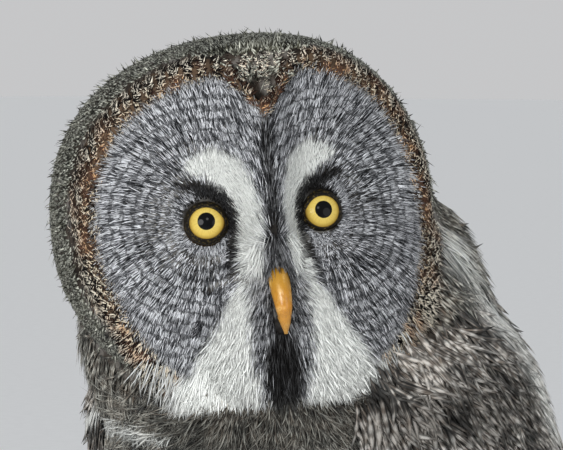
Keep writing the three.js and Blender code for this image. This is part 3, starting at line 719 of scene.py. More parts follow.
def from_eye(x, z):
    """Distance from the middle of the eyelids, in the plane of the face."""
    turn = np.radians(np.where(x < 0, EYE_TURN[-1], EYE_TURN[1]))
    middle = EYE_X + LID_DEPTH * np.sin(turn)
    return np.hypot(np.abs(x) - middle, z - LID_DEPTH * math.sin(math.radians(EYE_UP)))


def face_markings(x, z):
    eye = from_eye(x, z)
    brow_shift = np.where(x < 0, 0.0, 1.4)
    x = np.abs(x)
    share = disc_share(x, z)
    pale = 1 - ease(near_path(x - brow_shift, z, BROW), 0.75, 1.2)
    pale = np.maximum(pale, 1 - ease(near_path(x, z, BOW_TIE), 0.75, 1.15))
    low = ease(-z, 66, 74) * ease(x, 8, 13) * (1 - ease(x, 46, 56)) * (1 - ease(-z, 84, 90))
    pale = np.maximum(pale, low)
    dark = SHADOW_DARKNESS * (1 - ease(near_path(x, z, EYE_SHADOW), 0.7, 1.3))
    inner_side = ease(z - 0.9 * (x - EYE_X), -6, 4)
    dark = np.maximum(dark, (1 - ease(eye, 11, 12.4)) * inner_side)
    narrow = lerp(3.2, 6.8, ease(-z, 50, 64)) - 2.5 * ease(-z, 74, 86)
    narrow = narrow + np.sin(z * 0.9) + 0.8 * np.sin(z * 2.3)
    chin = (1 - ease(x, narrow, narrow + 4)) * ease(-z, 44, 54) * (1 - 0.5 * ease(-z, 84, 92))
    dark = np.maximum(dark, SHADOW_DARKNESS * chin)
    middle = (1 - ease(x, 1.2, 4.8)) * ease(z, -24, -14) * (1 - ease(z, 40, 60))
    dark = np.maximum(dark, 0.82 * middle)
    cere = (1 - ease(x, 3, 9)) * ease(-z, 6, 12) * (1 - ease(-z, 50, 56))
    dark = np.maximum(dark, 0.72 * cere)
    mixed = ease(-z, 20, 28) * (1 - ease(-z, 52, 62)) * (1 - ease(x, 10, 17))
    pale = pale * (1 - 0.95 * chin) * (1 - 0.85 * mixed) * (1 - 0.7 * cere)
    dark = np.maximum(dark, 0.3 * mixed)
    warm = ease(share, RUFF_SHARE - 0.01, RUFF_SHARE + 0.03)
    pale = np.maximum(pale, 0.45 * ease(-z, 35, 70) * warm)
    bars = ease(eye, 14, 20) * (1 - ease(share, RUFF_SHARE - 0.04, RUFF_SHARE)) * (1 - pale) * (1 - chin)
    outer = ease(share, 0.93, 0.99)
    return columns(pale, dark, warm, bars + outer), eye / RING_STEP


def markings(points, region):
    local = body_to_face(points)
    if region in (FACE, RUFF):
        return face_markings(local[:, 0], local[:, 2])
    height = points[:, 2]
    if region == HEAD:
        low = ease(-local[:, 2], 20, 80)
        back = ease(local[:, 1], 20, 80)
        return columns(0.04 * low, 0.1, 0.25, 1 - 0.2 * low - 0.2 * back), local[:, 1] / HEAD_BAR_STEP
    if region in (THIGH, TARSUS, FOOT):
        return columns(0.45, 0.05, 0.25, np.full(len(points), 0.6)), height / LEG_BAR_STEP
    centre_y = np.interp(height, [60, 112, 176, 256, 328, 380], [100, 96, 58, 10, -36, -60])
    aside = unit(columns(points[:, 0], points[:, 1] - centre_y))
    front = ease(-aside[:, 1], -0.2, 0.5)
    degrees = np.degrees(np.arctan2(aside[:, 1], np.abs(aside[:, 0])))
    stripe = np.exp(-(((degrees - STRIPE_DEGREES) / 8) ** 2)) * ease(height, 90, 150)
    stripe = stripe * (1 - ease(height, 350, 380))
    pale = np.maximum(0.06 + 0.25 * front * ease(-height, -250, -120), 0.6 * stripe)
    throat = ease(-local[:, 2], 82, 90) * (1 - ease(-local[:, 2], 98, 118)) * ease(-local[:, 1], -20, 10)
    lock = 1 - ease(near_path(local[:, 0], local[:, 2], PALE_LOCK), 0.6, 1.3)
    pale = np.maximum(pale, 0.65 * lock)
    dark = (0.14 * (1 - stripe) + 0.4 * throat) * (1 - lock)
    return columns(pale, dark, 0.35, 0.35 + 0.3 * (1 - front)), height / BODY_BAR_STEP


# Materials


class Shader:
    """A material whose nodes are added one call at a time."""

    def __init__(self, name, roughness, specular, sheen=0.0, coat=0.0):
        self.material = bpy.data.materials.new(name)
        self.material.use_nodes = True
        self.nodes = self.material.node_tree.nodes
        self.links = self.material.node_tree.links
        self.surface = self.nodes["Principled BSDF"]
        self.surface.inputs["Roughness"].default_value = roughness
        self.surface.inputs["Specular IOR Level"].default_value = specular
        self.surface.inputs["Sheen Weight"].default_value = sheen
        self.surface.inputs["Coat Weight"].default_value = coat
        self.surface.inputs["Coat Roughness"].default_value = 0.03

    def put(self, socket, value):
        """Links another node's output, or sets a number, or a colour given without its alpha."""
        if isinstance(value, bpy.types.NodeSocket):
            self.links.new(value, socket)
        elif isinstance(value, tuple):
            socket.default_value = (*value, 1)
        else:
            socket.default_value = value

    def node(self, kind, *values):
        """Adds a node with these values in its first sockets."""
        node = self.nodes.new("ShaderNode" + kind)
        for socket, value in zip(node.inputs, values):
            self.put(socket, value)
        return node

    def math(self, operation, *values):
        node = self.node("Math", *values)
        node.operation = operation
        return node.outputs[0]

    def add(self, a, b):
        return self.math("ADD", a, b)

    def times(self, a, b):
        return self.math("MULTIPLY", a, b)

    def span(self, value, low, high, to_low=0.0, to_high=1.0):
        node = self.node("MapRange", value, low, high, to_low, to_high)
        node.interpolation_type = "SMOOTHSTEP"
        return node.outputs[0]

    def mix(self, share, a, b):
        node = self.node("Mix", share)
        node.data_type = "RGBA"
        self.put(node.inputs[6], a)
        self.put(node.inputs[7], b)
        return node.outputs[2]

    def attribute(self, name):
        node = self.node("Attribute")
        node.attribute_name = name
        parts = self.node("SeparateColor", node.outputs["Color"])
        return (*parts.outputs[:3], node.outputs["Alpha"])

    def place(self):
        return self.node("TexCoord").outputs["Object"]

    def vector(self, x, y, z):
        return self.node("CombineXYZ", x, y, z).outputs[0]

    def noise(self, vector, scale, detail=2.0, rough=0.5):
        node = self.node("TexNoise", vector)
        node.inputs["Scale"].default_value = scale
        node.inputs["Detail"].default_value = detail
        node.inputs["Roughness"].default_value = rough
        return node.outputs[0]

    def ramp(self, value, stops):
        node = self.node("ValToRGB", value)
        elements = node.color_ramp.elements
        while len(elements) < len(stops):
            elements.new(0.5)
        for element, (position, color) in zip(elements, stops):
            element.position = position
            element.color = (*color, 1)
        return node.outputs[0]

    def finish(self, color, height=None, bump=0.0, distance=0.0005):
        self.links.new(color, self.surface.inputs["Base Color"])
        if height is not None:
            node = self.node("Bump")
            node.inputs["Strength"].default_value = bump
            node.inputs["Distance"].default_value = distance
            self.links.new(height, node.inputs["Height"])
            self.links.new(node.outputs[0], self.surface.inputs["Normal"])
        return self.material


def srgb(*parts):
    """A colour given as on a screen, 0 to 255, as the linear values that Blender takes."""
    return tuple(((v / 255 + 0.055) / 1.055) ** 2.4 if v > 10 else v / 255 / 12.92 for v in parts)


def plumage(name, dark, middle, light, warm, white, barbs=5.0, mottle=70.0, cloudy=0.9, shady=0.85,
            bar_edge=(0.2, 0.9), bar_depth=0.8, bands=0.0, banding=0.0):
    """Feathers: barbs along each tuft, bars across the lie, and the marks that the mesh carries."""
    s = Shader(name, roughness=0.75, specular=0.08)
    along, across, shade, phase = s.attribute("lie")
    pale, black, warmth, bars = s.attribute("marks")
    place = s.place()
    fibre = s.noise(s.vector(s.times(across, barbs), s.times(along, 1.6), s.times(shade, 57.0)), 1.0, 1.0)
    cloud = s.noise(place, mottle, 3.0, 0.6)
    wobble = s.noise(place, mottle * 3.5, 2.0)
    tone = s.add(0.5, s.times(s.add(fibre, -0.5), 1.5))
    # each tuft's own tone, which also carries the painted shade of the lower layer
    tone = s.add(tone, s.times(s.add(shade, -0.5), shady))
    tone = s.add(tone, s.times(s.add(cloud, -0.5), cloudy))
    # darker towards each tuft's root: partly the grey bases that real feathers have, partly painted shade
    # where the tufts lie over one another
    tone = s.add(tone, s.times(s.add(along, -0.6), 0.35))
    if banding:
        across_tuft = s.add(s.times(s.add(along, s.times(wobble, 0.3)), bands), s.times(shade, 7.0))
        tone = s.add(tone, s.times(s.math("SINE", s.times(across_tuft, 2 * math.pi)), banding))
    color = s.ramp(tone, [(0.08, dark), (0.5, middle), (0.95, light)])
    color = s.mix(s.times(warmth, s.span(s.add(fibre, cloud), 0.85, 1.25)), color, warm)
    swerve = s.add(s.times(s.add(wobble, -0.5), 1.3), s.times(s.add(cloud, -0.5), 1.2))
    turned = s.math("SINE", s.times(s.add(phase, swerve), 2 * math.pi))
    broken = s.span(s.add(cloud, s.times(s.add(wobble, shade), 0.5)), 0.75, 1.15, 0.25, bar_depth)
    color = s.mix(s.times(s.times(s.span(turned, *bar_edge), bars), broken), color, dark)
    whiteness = s.times(pale, s.span(s.add(fibre, s.times(shade, 0.5)), 0.42, 0.78, 0.6, 1.0))
    color = s.mix(whiteness, color, white)
    color = s.mix(s.times(black, s.span(fibre, 0.5, 0.75, 1.0, 0.9)), color, srgb(11, 9, 8))
    return s.finish(color)


def ruff_plumage():
    """The ruff: strokes of cream and tan over black and rust, whitest towards the chin."""
    s = Shader("ruff_plumage", roughness=0.75, specular=0.08)
    along, across, shade, _ = s.attribute("lie")
    pale, _, _, outer = s.attribute("marks")
    cloud = s.noise(s.place(), 75.0, 2.0)
    patch = s.noise(s.place(), 280.0, 2.0)
    fibre = s.noise(s.vector(s.times(across, 3.0), s.times(along, 1.5), s.times(shade, 83.0)), 1.0, 1.0)
    chance = s.add(s.add(shade, s.times(s.add(patch, -0.5), 0.7)), s.times(outer, 0.1))
    lit = s.span(s.add(chance, s.times(pale, 0.3)), 0.66, 0.73)
    rusty = s.span(s.add(cloud, s.times(fibre, 0.5)), 0.72, 0.95)
    rusty = s.times(rusty, s.span(outer, 0.0, 1.0, 0.75, 0.3))
    base = s.mix(rusty, srgb(15, 12, 11), srgb(112, 80, 64))
    warm = s.span(s.add(cloud, s.times(fibre, 0.6)), 0.76, 1.0)
    cream = s.mix(warm, srgb(226, 214, 190), srgb(206, 158, 110))
    cream = s.mix(s.math("MAXIMUM", pale, s.times(outer, 0.5)), cream, srgb(240, 236, 224))
    return s.finish(s.mix(lit, base, cream))


def vane_plumage():
    """Feathers of wings and tail: slanting barbs, a shaft, and broad soft bars."""
    s = Shader("vane_plumage", roughness=0.65, specular=0.2, sheen=0.06)
    along, across, shade, phase = s.attribute("lie")
    pale, black, _, bars = s.attribute("marks")
    aside = s.math("ABSOLUTE", s.add(across, -0.5))
    slant = s.add(s.times(along, 95.0), s.times(aside, -30.0))
    barb = s.noise(s.vector(s.times(across, 1.5), slant, s.times(shade, 57.0)), 1.0, 2.0)
    cloud = s.noise(s.place(), 75.0, 4.0, 0.65)
    wobble = s.noise(s.vector(s.times(across, 4.0), s.times(phase, 1.3), s.times(shade, 31.0)), 1.0, 2.0)
    turned = s.math("SINE", s.times(s.add(phase, s.times(s.add(wobble, -0.5), 0.7)), 2 * math.pi))
    edge = s.add(turned, s.add(s.times(s.add(barb, -0.5), 2.2), s.times(s.add(cloud, -0.5), 2.0)))
    bar = s.times(s.times(s.span(edge, -0.6, 0.8), bars), s.span(cloud, 0.35, 0.6, 0.55, 1.0))
    broad = s.noise(s.place(), 24.0, 2.0)
    tone = s.add(s.add(s.times(cloud, 0.7), s.times(barb, 0.5)), s.times(s.add(shade, -0.5), 0.25))
    tone = s.add(tone, s.times(s.add(broad, -0.5), 0.6))
    light = s.ramp(tone, [(0.35, srgb(98, 92, 85)), (0.6, srgb(148, 142, 133)), (0.85, srgb(202, 199, 191))])
    dim = s.ramp(tone, [(0.35, srgb(38, 34, 31)), (0.65, srgb(66, 61, 56)), (0.9, srgb(104, 98, 91))])
    color = s.mix(bar, light, dim)
    color = s.mix(s.times(pale, s.span(tone, 0.35, 0.6, 0.5, 1.0)), color, srgb(216, 214, 208))
    border = s.times(s.span(aside, 0.4, 0.49), s.span(cloud, 0.4, 0.6, 0.15, 0.6))
    color = s.mix(border, color, srgb(176, 172, 164))
    color = s.mix(s.times(black, s.span(barb, 0.4, 0.6, 1.0, 0.7)), color, srgb(30, 27, 25))
    color = s.mix(s.span(aside, 0.012, 0.03, 0.7, 0.0), color, srgb(44, 38, 33))
    return s.finish(color, height=barb, bump=0.25, distance=0.0003)


# The coat

ZIGZAG = 6.4  # from one fold of the ruff's pattern to the next
FACE_FEATHERS = 54000
FACE_BRISTLES = 14400
CERE_BRISTLES = 1500
EYE_BRISTLES = 7000
RUFF_FEATHERS = 17000
THROAT_WISPS = 5200
HEAD_FEATHERS = 35000
BODY_FEATHERS = [
    # name, region, count, length, width, lift, droop, rings, material, slot
    ("neck_feathers", NECK, 15000, 19, 1.6, 0.34, 0.16, 2, "neck", "plumage_grey"),
    ("torso_feathers", TORSO, 13700, 25, 2.5, 0.19, 0.08, 2, "body", "plumage_pale"),
    ("wing_small_coverts", WING, 7000, 22, 2.8, 0.2, 0.08, 2, "body", "flight_feathers"),
    ("tail_coverts", TAIL, 1500, 24, 2.8, 0.2, 0.08, 2, "body", "flight_feathers"),
    ("thigh_feathers", THIGH, 6500, 15, 2.0, 0.25, 0.1, 1, "leg", "plumage_pale"),
    ("tarsus_feathers", TARSUS, 3500, 8, 1.3, 0.25, 0.05, 1, "leg", "plumage_pale"),
    ("foot_feathers", FOOT, 5000, 5, 1.0, 0.25, 0.08, 1, "leg", "plumage_pale"),
]
FEATHERS_FROM = 3  # height over the ground at which the feathers of the feet start
BREAST = (210, 290)  # heights between which its feathers become smaller and closer
SHOULDER = (190, 230)  # heights between which the small coverts come out over the vanes
SHOULDER_LIFT = 5.0


def region_mask(skin, *regions):
    return np.isin(skin.regions, regions).astype(float)


def face_flow(x, z):
    """The way the barbs of the face point, in the plane of the face."""
    side = np.where(x < 0, -1.0, 1.0)
    x = np.abs(x)
    lift = 16 * ease(z, 2, 34)
    out = columns(x - EYE_X, z - lift)
    droop = 0.5 * ease(np.hypot(x - EYE_X, z), 20, 60) * (1 - ease(z, 10, 45)) * ease(x, 20, 45)
    out = unit(out) + columns(0, -droop)
    inner = unit(columns(x + 1.5, z + 14))
    from_bill = 1 - ease(x, 13, 26)
    from_bill = np.maximum(from_bill, ease(-z, 30, 55) * (1 - ease(x, 25, 60)))
    flow = unit(lerp(unit(out), inner, from_bill[:, None]))
    return columns(flow[:, 0] * side, 0, flow[:, 1])


def clear_of_eyes_and_bill(roots, margin):
    x, z = roots.on_face()
    eye = from_eye(x, z) > IRIS_RADIUS + LID_WIDTH + margin
    bill = (np.abs(x) > 3.2) | (z > -24) | (z < -50)
    return eye & bill


def layers(count, low, high, share_high, spread=0.17):
    """Lifts for a coat of two layers, most of it low, and shades that make the upper one lighter and the
    lower one darker: the random spread is the feathers' own tone, and the lower layer's darkness is painted
    shade on the feathers that lie beneath.
    """
    upper = rng.random(count) < share_high
    lift = np.where(upper, rng.uniform(0.6, 1, count), rng.uniform(0, 0.45, count))
    # painted shade: tufts of the lower layer, which lie beneath the upper, start darker
    shade = np.clip(np.where(upper, 0.68, 0.3) + rng.normal(0, spread, count), 0, 1)
    return low + (high - low) * lift, shade


def dress_face(skin, materials):
    x, z = body_to_face(skin.points)[:, [0, 2]].T
    share = disc_share(x, z)
    chin = ease(-z, 76, 84) * (1 - ease(np.abs(x), 35, 50))
    density = region_mask(skin, FACE) * np.maximum(1 - ease(share, RUFF_SHARE, RUFF_SHARE + 0.03), chin)
    density *= (1 + 1.2 * (1 - ease(from_eye(x, z), 11, 26))) * (1 - ease(-z, 82, 84))
    roots = Roots(skin, density, FACE_FEATHERS)
    roots.keep(clear_of_eyes_and_bill(roots, 0.1))
    flat = face_flow(*roots.on_face()) + rng.normal(0, 0.12, roots.face.shape)
    eye = from_eye(*roots.on_face())
    share = disc_share(*roots.on_face())
    length = (3.2 + 6.8 * ease(eye, 10, 32)) * rng.uniform(0.75, 1.25, len(roots))
    length *= 1 - 0.62 * ease(share, RUFF_SHARE - 0.12, RUFF_SHARE)
    length = np.minimum(length, np.maximum(87.5 + roots.face[:, 2], 2.5))
    width = (0.4 + 0.18 * ease(eye, 11, 45)) * rng.uniform(0.75, 1.3, len(roots))
    grow("face_feathers", materials["face"], roots, flat @ HEAD_TURN.T, length, width,
         layers(len(roots), 0.1, 0.34, 0.3, spread=0.26), 0.08, 1, FACE, bend=0.1, sink=0.7)


def dress_bristles(skin, materials):
    """The longer white and dark bristles of brow, cheek and chin."""
    local = body_to_face(skin.points)
    ahead = local + 4.5 * face_flow(local[:, 0], local[:, 2])
    marks, _ = face_markings(ahead[:, 0], ahead[:, 2])
    share = disc_share(local[:, 0], local[:, 2])
    weight = ease(marks[:, 0], 0.3, 0.9) + 0.6 * marks[:, 1] * ease(-local[:, 2], 30, 50)
    weight = weight * (1 - ease(-local[:, 2], 81, 83))
    roots = Roots(skin, weight * region_mask(skin, FACE) * (share < 0.95), FACE_BRISTLES)
    roots.keep(clear_of_eyes_and_bill(roots, 1.5))
    flat = face_flow(*roots.on_face()) + rng.normal(0, 0.12, roots.face.shape)
    low = ease(-roots.face[:, 2], 25, 60)
    length = (6.5 + 8.5 * low) * rng.uniform(0.7, 1.2, len(roots))
    length = np.minimum(length, np.maximum(88 + roots.face[:, 2], 3.5) * rng.uniform(0.8, 1.3, len(roots)))
    width = (0.42 + 0.2 * low) * rng.uniform(0.7, 1.3, len(roots))
    grow("face_bristles", materials["face"], roots, flat @ HEAD_TURN.T, length, width,
         layers(len(roots), 0.14, 0.4, 0.4), 0.14, 2, FACE, bend=0.13, sink=0.8)


def dress_eyes(skin, materials):
    """Short bristles that lean over the edge of the eyelids."""
    x, z = body_to_face(skin.points)[:, [0, 2]].T
    roots = Roots(skin, region_mask(skin, FACE) * (from_eye(x, z) < 15), EYE_BRISTLES)
    eye = from_eye(*roots.on_face())
    roots.keep((eye > IRIS_RADIUS + LID_WIDTH - 0.5) & (eye < 14))
    flat = face_flow(*roots.on_face()) + rng.normal(0, 0.2, roots.face.shape)
    length = rng.uniform(2.2, 4.2, len(roots))
    width = rng.uniform(0.3, 0.45, len(roots))
    grow("eye_bristles", materials["face"], roots, flat @ HEAD_TURN.T, length, width,
         layers(len(roots), 0.25, 0.75, 0.5), 0.15, 1, FACE, bend=0.12, sink=0.3)


def dress_cere(skin, materials):
    """Bristles that lie over the root of the bill."""
    x, z = body_to_face(skin.points)[:, [0, 2]].T
    cere = (1 - ease(np.abs(x), 6, 9)) * ease(-z, 4, 10) * (1 - ease(-z, 25, 29)) * region_mask(skin, FACE)
    roots = Roots(skin, cere, CERE_BRISTLES)
    side = np.sign(roots.face[:, 0])
    flat = columns(side * rng.uniform(-0.1, 0.35, len(roots)), 0, -1)
    length = rng.uniform(8, 14, len(roots))
    width = rng.uniform(0.35, 0.6, len(roots))
    grow("cere_bristles", materials["face"], roots, flat @ HEAD_TURN.T, length, width,
         layers(len(roots), 0.5, 0.95, 0.5), 0.2, 2, FACE, bend=0.15, sink=0.6)


def dress_ruff(skin, materials):
    local = body_to_face(skin.points)
    x, z = local[:, 0], local[:, 2]
    share = disc_share(x, z)
    weight = region_mask(skin, FACE) * ease(share, RUFF_SHARE - 0.02, RUFF_SHARE + 0.01)
    weight = weight * (1 - ease(-z, 76, 84) * (1 - ease(np.abs(x), 35, 50)))
    notch = region_mask(skin, HEAD) * (1 - ease(np.abs(x), 9, 15)) * ease(z, 44, 50) * (1 - ease(z, 70, 78))
    weight = np.maximum(weight, notch * (-local[:, 1] > 12))
    roots = Roots(skin, weight, RUFF_FEATHERS)
    x, z = roots.on_face()
    outward = unit(roots.face * np.array([1, 0, 1]))
    around = columns(-outward[:, 2], 0, outward[:, 0]) * np.sign(x)[:, None]
    count = len(roots)
    arc = np.arctan2(x, z) * np.hypot(x, z)
    lean = np.sign(np.sin(arc * 2 * np.pi / ZIGZAG) + rng.normal(0, 0.45, count))
    low = ease(-z, 30, 60)
    aside = 0.15 + (0.75 - 0.6 * low) * lean
    flat = outward * (0.5 + 0.5 * low)[:, None] - around * aside[:, None]
    flat = flat + rng.normal(0, 0.14, outward.shape)
    lift, shade = layers(count, 0.12, 0.36, 0.45)
    upper = lift > 0.24
    length = np.where(upper, rng.uniform(2.4, 4.2, count), rng.uniform(3.4, 5.2, count)) + 3 * low
    width = np.where(upper, rng.uniform(0.45, 0.7, count), rng.uniform(0.9, 1.4, count))
    grow("ruff_feathers", materials["ruff"], roots, flat @ HEAD_TURN.T, length, width,
         (lift, shade), 0.12, 1, RUFF, sink=0.8)


def dress_throat(skin, materials):
    """Fine loose wisps that stream down and outward from under the chin."""
    local = body_to_face(skin.points)
    x, z = np.abs(local[:, 0]), local[:, 2]
    facing = ease(skin.normals @ -HEAD_TURN[:, 1], 0.0, 0.4)
    weight = facing * ease(-z, 78, 86) * (1 - ease(-z, 112, 130)) * (1 - ease(x, 60, 85))
    below_chin = 1 + 4 * region_mask(skin, FACE) * ease(-z, 80, 84)
    roots = Roots(skin, weight * below_chin * region_mask(skin, FACE, NECK, HEAD, TORSO), THROAT_WISPS)
    count = len(roots)
    side, aside = np.sign(roots.face[:, 0]), np.abs(roots.face[:, 0])
    out, down = 0.2 + 0.8 * ease(aside, 5, 40), 1 - 0.55 * ease(aside, 20, 60)
    flat = columns(side * out, 0, -down) + rng.normal(0, 0.18, (count, 3))
    length = rng.uniform(14, 30, count)
    width = rng.uniform(0.45, 0.85, count)
    grow("throat_wisps", materials["neck"], roots, flat @ HEAD_TURN.T, length, width,
         layers(count, 0.2, 0.5, 0.6, spread=0.25), 0.22, 2, NECK, bend=0.3)


def dress_head(skin, materials):
    roots = Roots(skin, region_mask(skin, HEAD), HEAD_FEATHERS)
    count = len(roots)
    loose = rng.random(count) < 0.02
    length = rng.uniform(5.5, 8.5, count) + 3 * loose
    width = rng.uniform(1.0, 1.7, count) - 0.6 * loose
    lift, shade = layers(count, 0.04, 0.17, 0.4)
    brow = (1 - ease(-roots.face[:, 1], 30, 12)) * ease(roots.face[:, 2], 30, 50)
    direction = roots.flow + rng.normal(0, 0.2, (count, 3)) + np.array([0, 0, 0.8]) * brow[:, None]
    grow("head_feathers", materials["head"], roots, direction, length, width,
         (lift + 0.25 * loose, shade), 0.06, 1, HEAD, bend=0.14)


def dress_body(skin, materials):
    for name, region, count, length, width, lift, droop, rings, material, slot in BODY_FEATHERS:
        upper = ease(skin.points[:, 2], *BREAST) * (region == TORSO)
        roots = Roots(skin, region_mask(skin, region) * (1 + 0.9 * upper), count)
        roots.keep(roots.point[:, 2] > FEATHERS_FROM)
        size = rng.uniform(0.75, 1.25, len(roots))
        size *= 1 - 0.25 * ease(roots.point[:, 2], *BREAST) * (region == TORSO)
        direction = roots.flow + rng.normal(0, 0.2, (len(roots), 3))
        if region == NECK:
            throat = ease(-roots.face[:, 1], -10, 25) * np.clip(roots.face[:, 0] / 30, -1, 1)
            direction += 0.9 * throat[:, None] * HEAD_TURN[:, 0]
        wide = width * size * rng.uniform(0.8, 1.2, len(roots))
        lift_and_shade = layers(len(roots), 0.65 * lift, 1.35 * lift, 0.4)
        if region == WING:
            shoulder = SHOULDER_LIFT * ease(roots.point[:, 2], *SHOULDER)
            roots.point += roots.normal * shoulder[:, None]
        grow(name, materials[material], roots, direction, length * size, wide, lift_and_shade,
             droop, rings, region, bend=0.2)


# Vanes of wings and tail

FEATHER_OUTLINE = [(0, 0.35), (0.3, 0.85), (0.6, 1), (0.85, 0.86), (0.95, 0.55), (1, 0.12)]
VANE_THICKNESS = 0.6


def split(a, b, c, d, turned):
    """A face of four corners as two triangles."""
    return [(a, c, b), (a, d, c)] if turned else [(a, b, c), (a, c, d)]


class Vanes:
    """Feathers gathered into one piece, each with its own part of the OFBake map."""

    def __init__(self, rows=22, columns=8):
        self.rows, self.columns = rows, columns
        self.points, self.lie, self.marks = [], [], []

    def add(self, centre, side, normal, period, pale, warm):
        """A feather, from the centre, the half width and the normal of each of its rows."""
        across = np.linspace(-1, 1, self.columns)
        share = np.linspace(0, 1, self.rows)[:, None]
        tone = rng.random()
        rows = centre[:, None] + side[:, None] * across[None, :, None]
        ripple = 0.25 * np.sin(across * 9 + tone * 40) * np.sin(share * 30) * 0.4
        crown = 0.9 * (1 - np.abs(across)) ** 0.6 + ripple
        top = rows + normal[:, None] * (crown + 0.05)[..., None]
        bottom = rows - normal[:, None] * VANE_THICKNESS
        length = np.linalg.norm(np.diff(centre, axis=0), axis=1).sum()
        swept = share * length - np.abs(across) * np.linalg.norm(side, axis=1)[:, None] * 0.5
        lie = columns(share, (across + 1) / 2, tone, swept / period + tone * 0.6)
        marks = columns(pale + 0 * swept, 0.0, warm, 1.0)
        self.points.append(np.stack([top, bottom]))
        self.lie.append(np.stack([lie, lie]))
        self.marks.append(np.stack([marks, marks]))

    def triangles(self):
        """The triangles of one feather: top and bottom, its two long edges, and its root and tip."""
        rows, width = self.rows, self.columns
        index = np.arange(2 * rows * width).reshape(2, rows, width)
        top, bottom = index
        faces = []
        for i in range(rows - 1):
            for j in range(width - 1):
                for side, turned in ((top, False), (bottom, True)):
                    faces += split(side[i, j], side[i, j + 1], side[i + 1, j + 1], side[i + 1, j], turned)
            for j, turned in ((0, False), (-1, True)):
                faces += split(top[i, j], top[i + 1, j], bottom[i + 1, j], bottom[i, j], turned)
        for j in range(width - 1):
            for i, turned in ((0, True), (-1, False)):
                faces += split(top[i, j], top[i, j + 1], bottom[i, j + 1], bottom[i, j], turned)
        return np.array(faces)

    def build(self, name, material):
        count = len(self.points)
        starts = np.arange(count)[:, None, None] * 2 * self.rows * self.columns
        triangles = (starts + self.triangles()).reshape(-1, 3)
        across_cells = math.ceil(math.sqrt(count * 3))
        down_cells = math.ceil(count / across_cells)
        lie = np.array(self.lie).reshape(count, -1, 4)
        cell = np.arange(count)[:, None]
        u = (cell % across_cells + 0.08 + 0.84 * lie[..., 1]) / across_cells
        v = (cell // across_cells + 0.04 + 0.92 * lie[..., 0]) / down_cells
        return plumage_piece(name, np.array(self.points).reshape(-1, 3), triangles,
                             columns(u, v).reshape(-1, 2), lie, np.array(self.marks), material)


def bed_vane(vanes, side, root, tip, width, lean, period, pale):
    """A feather of the folded wing, from its root to its tip, each (along, degrees, offset)."""
    share = np.linspace(0, 1, vanes.rows)
    along, degrees, offset = (lerp(root[k], tip[k], share) for k in range(3))
    centre = bed_point(along, degrees, offset, side)
    ahead = unit(np.gradient(centre, axis=0))
    outward = unit(bed_point(along, degrees, offset + 1, side) - centre)
    across = unit(np.cross(outward, ahead)) * side
    half = width / 2 * profile(FEATHER_OUTLINE, share)
    leaning = lean * np.minimum(1, 2 * share)
    half_side = (across * half - outward * leaning[:, None]) * side
    vanes.add(centre, half_side, outward, period, pale, warm=0.4)


WING_TIERS = [
    # count, first and last feather as (along, degrees, along, degrees), offsets of root and tip, rise over
    # the tier, width, lean, period of the bars, how pale
    (9, (200, -18, 428, 12), (200, 8, 372, 34), (0.4, 0), 6.0, 17, 1.0, 15, 0.0),
    (5, (118, 62, 290, 74), (108, 84, 272, 87), (5, 7), 2.0, 30, 1.6, 15, 0.1),
    (12, (104, -10, 326, 0), (92, 60, 254, 70), (3, 4.5), 5.5, 27, 1.8, 13, 0.05),
    (12, (66, -18, 208, -14), (60, 56, 168, 66), (6.5, 10.5), 2.5, 26, 1.6, 11, 0.15),
    (8, (52, 58, 196, 64), (46, 86, 204, 86), (5.5, 10.5), 2.5, 28, 1.6, 12, 0.1),
]


def wing_vanes(side, material):
    vanes = Vanes()
    for count, first, last, offsets, rise, width, lean, period, pale in WING_TIERS:
        for i in range(count):
            share = i / (count - 1)
            places = [lerp(a, b, share) for a, b in zip(first, last)]
            root = (places[0], places[1], offsets[0] + rise * share)
            tip = (places[2] + rng.uniform(-3, 3), places[3], offsets[1] + rise * share)
            stripe = 0.7 * math.exp(-(((places[3] - STRIPE_DEGREES - 8) / 8) ** 2))
            bed_vane(vanes, side, root, tip, width, lean, period, max(pale, stripe))
    name = f"wing_{SIDE_NAMES[side]}"
    piece = vanes.build(name + "_feathers", material)
    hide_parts(name)


def tail_vanes(material):
    vanes = Vanes(rows=26)
    share = np.linspace(0, 1, vanes.rows)

    def feather(degrees, start, end, over, width, period, pale, warm=0.3):
        distance = lerp(start, end, share)
        angle = math.radians(degrees)
        centre = tail_point(distance * math.cos(angle), distance * math.sin(angle) * 0.9, over)
        ahead = unit(TAIL_ALONG * math.cos(angle) + np.array([math.sin(angle), 0, 0]))
        across = unit(np.cross(TAIL_OVER, ahead))
        half = width / 2 * profile(FEATHER_OUTLINE, share)
        normal = np.broadcast_to(TAIL_OVER, centre.shape)
        vanes.add(centre, -across * half, normal, period, pale, warm)

    for side in (-1, 1):
        for i in range(6):
            degrees = side * TAIL_FAN * (i + 0.35) / 5.35
            length = TAIL_LENGTH - 2.2 * i * i + rng.uniform(-1.5, 1.5)
            feather(degrees, 20, length, 3.4 - 1.6 * i + 0.5 * side, 42, 17, 0.05, warm=0.4)
    for degrees in np.linspace(-20, 20, 9):
        aside = abs(degrees)
        feather(degrees, 14, 112 - aside + rng.uniform(-4, 4), 7.4 - aside / 6, 26, 9, 0.15)
        feather(degrees, 14, 96 - aside + rng.uniform(-4, 4), -11.4 + aside / 9, 26, 9, 0.5)
    piece = vanes.build("tail_feathers", material)
    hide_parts("tail")


# Eyes, lids, bill and claws


def at_eye(points, side):
    place = np.array([side * EYE_X, -EYE_FORWARD, 0])
    cosine, sine = math.cos(math.radians(EYE_UP)), math.sin(math.radians(EYE_UP))
    tilted = points @ np.array([[1, 0, 0], [0, cosine, -sine], [0, sine, cosine]])
    return face_to_body(tilted @ turn_z(side * EYE_TURN[side]).T + place)


def finish_piece(piece, material, slot, *nodes):
    piece.data.materials.append(material)
    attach(piece, "root")
    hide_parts(*nodes)


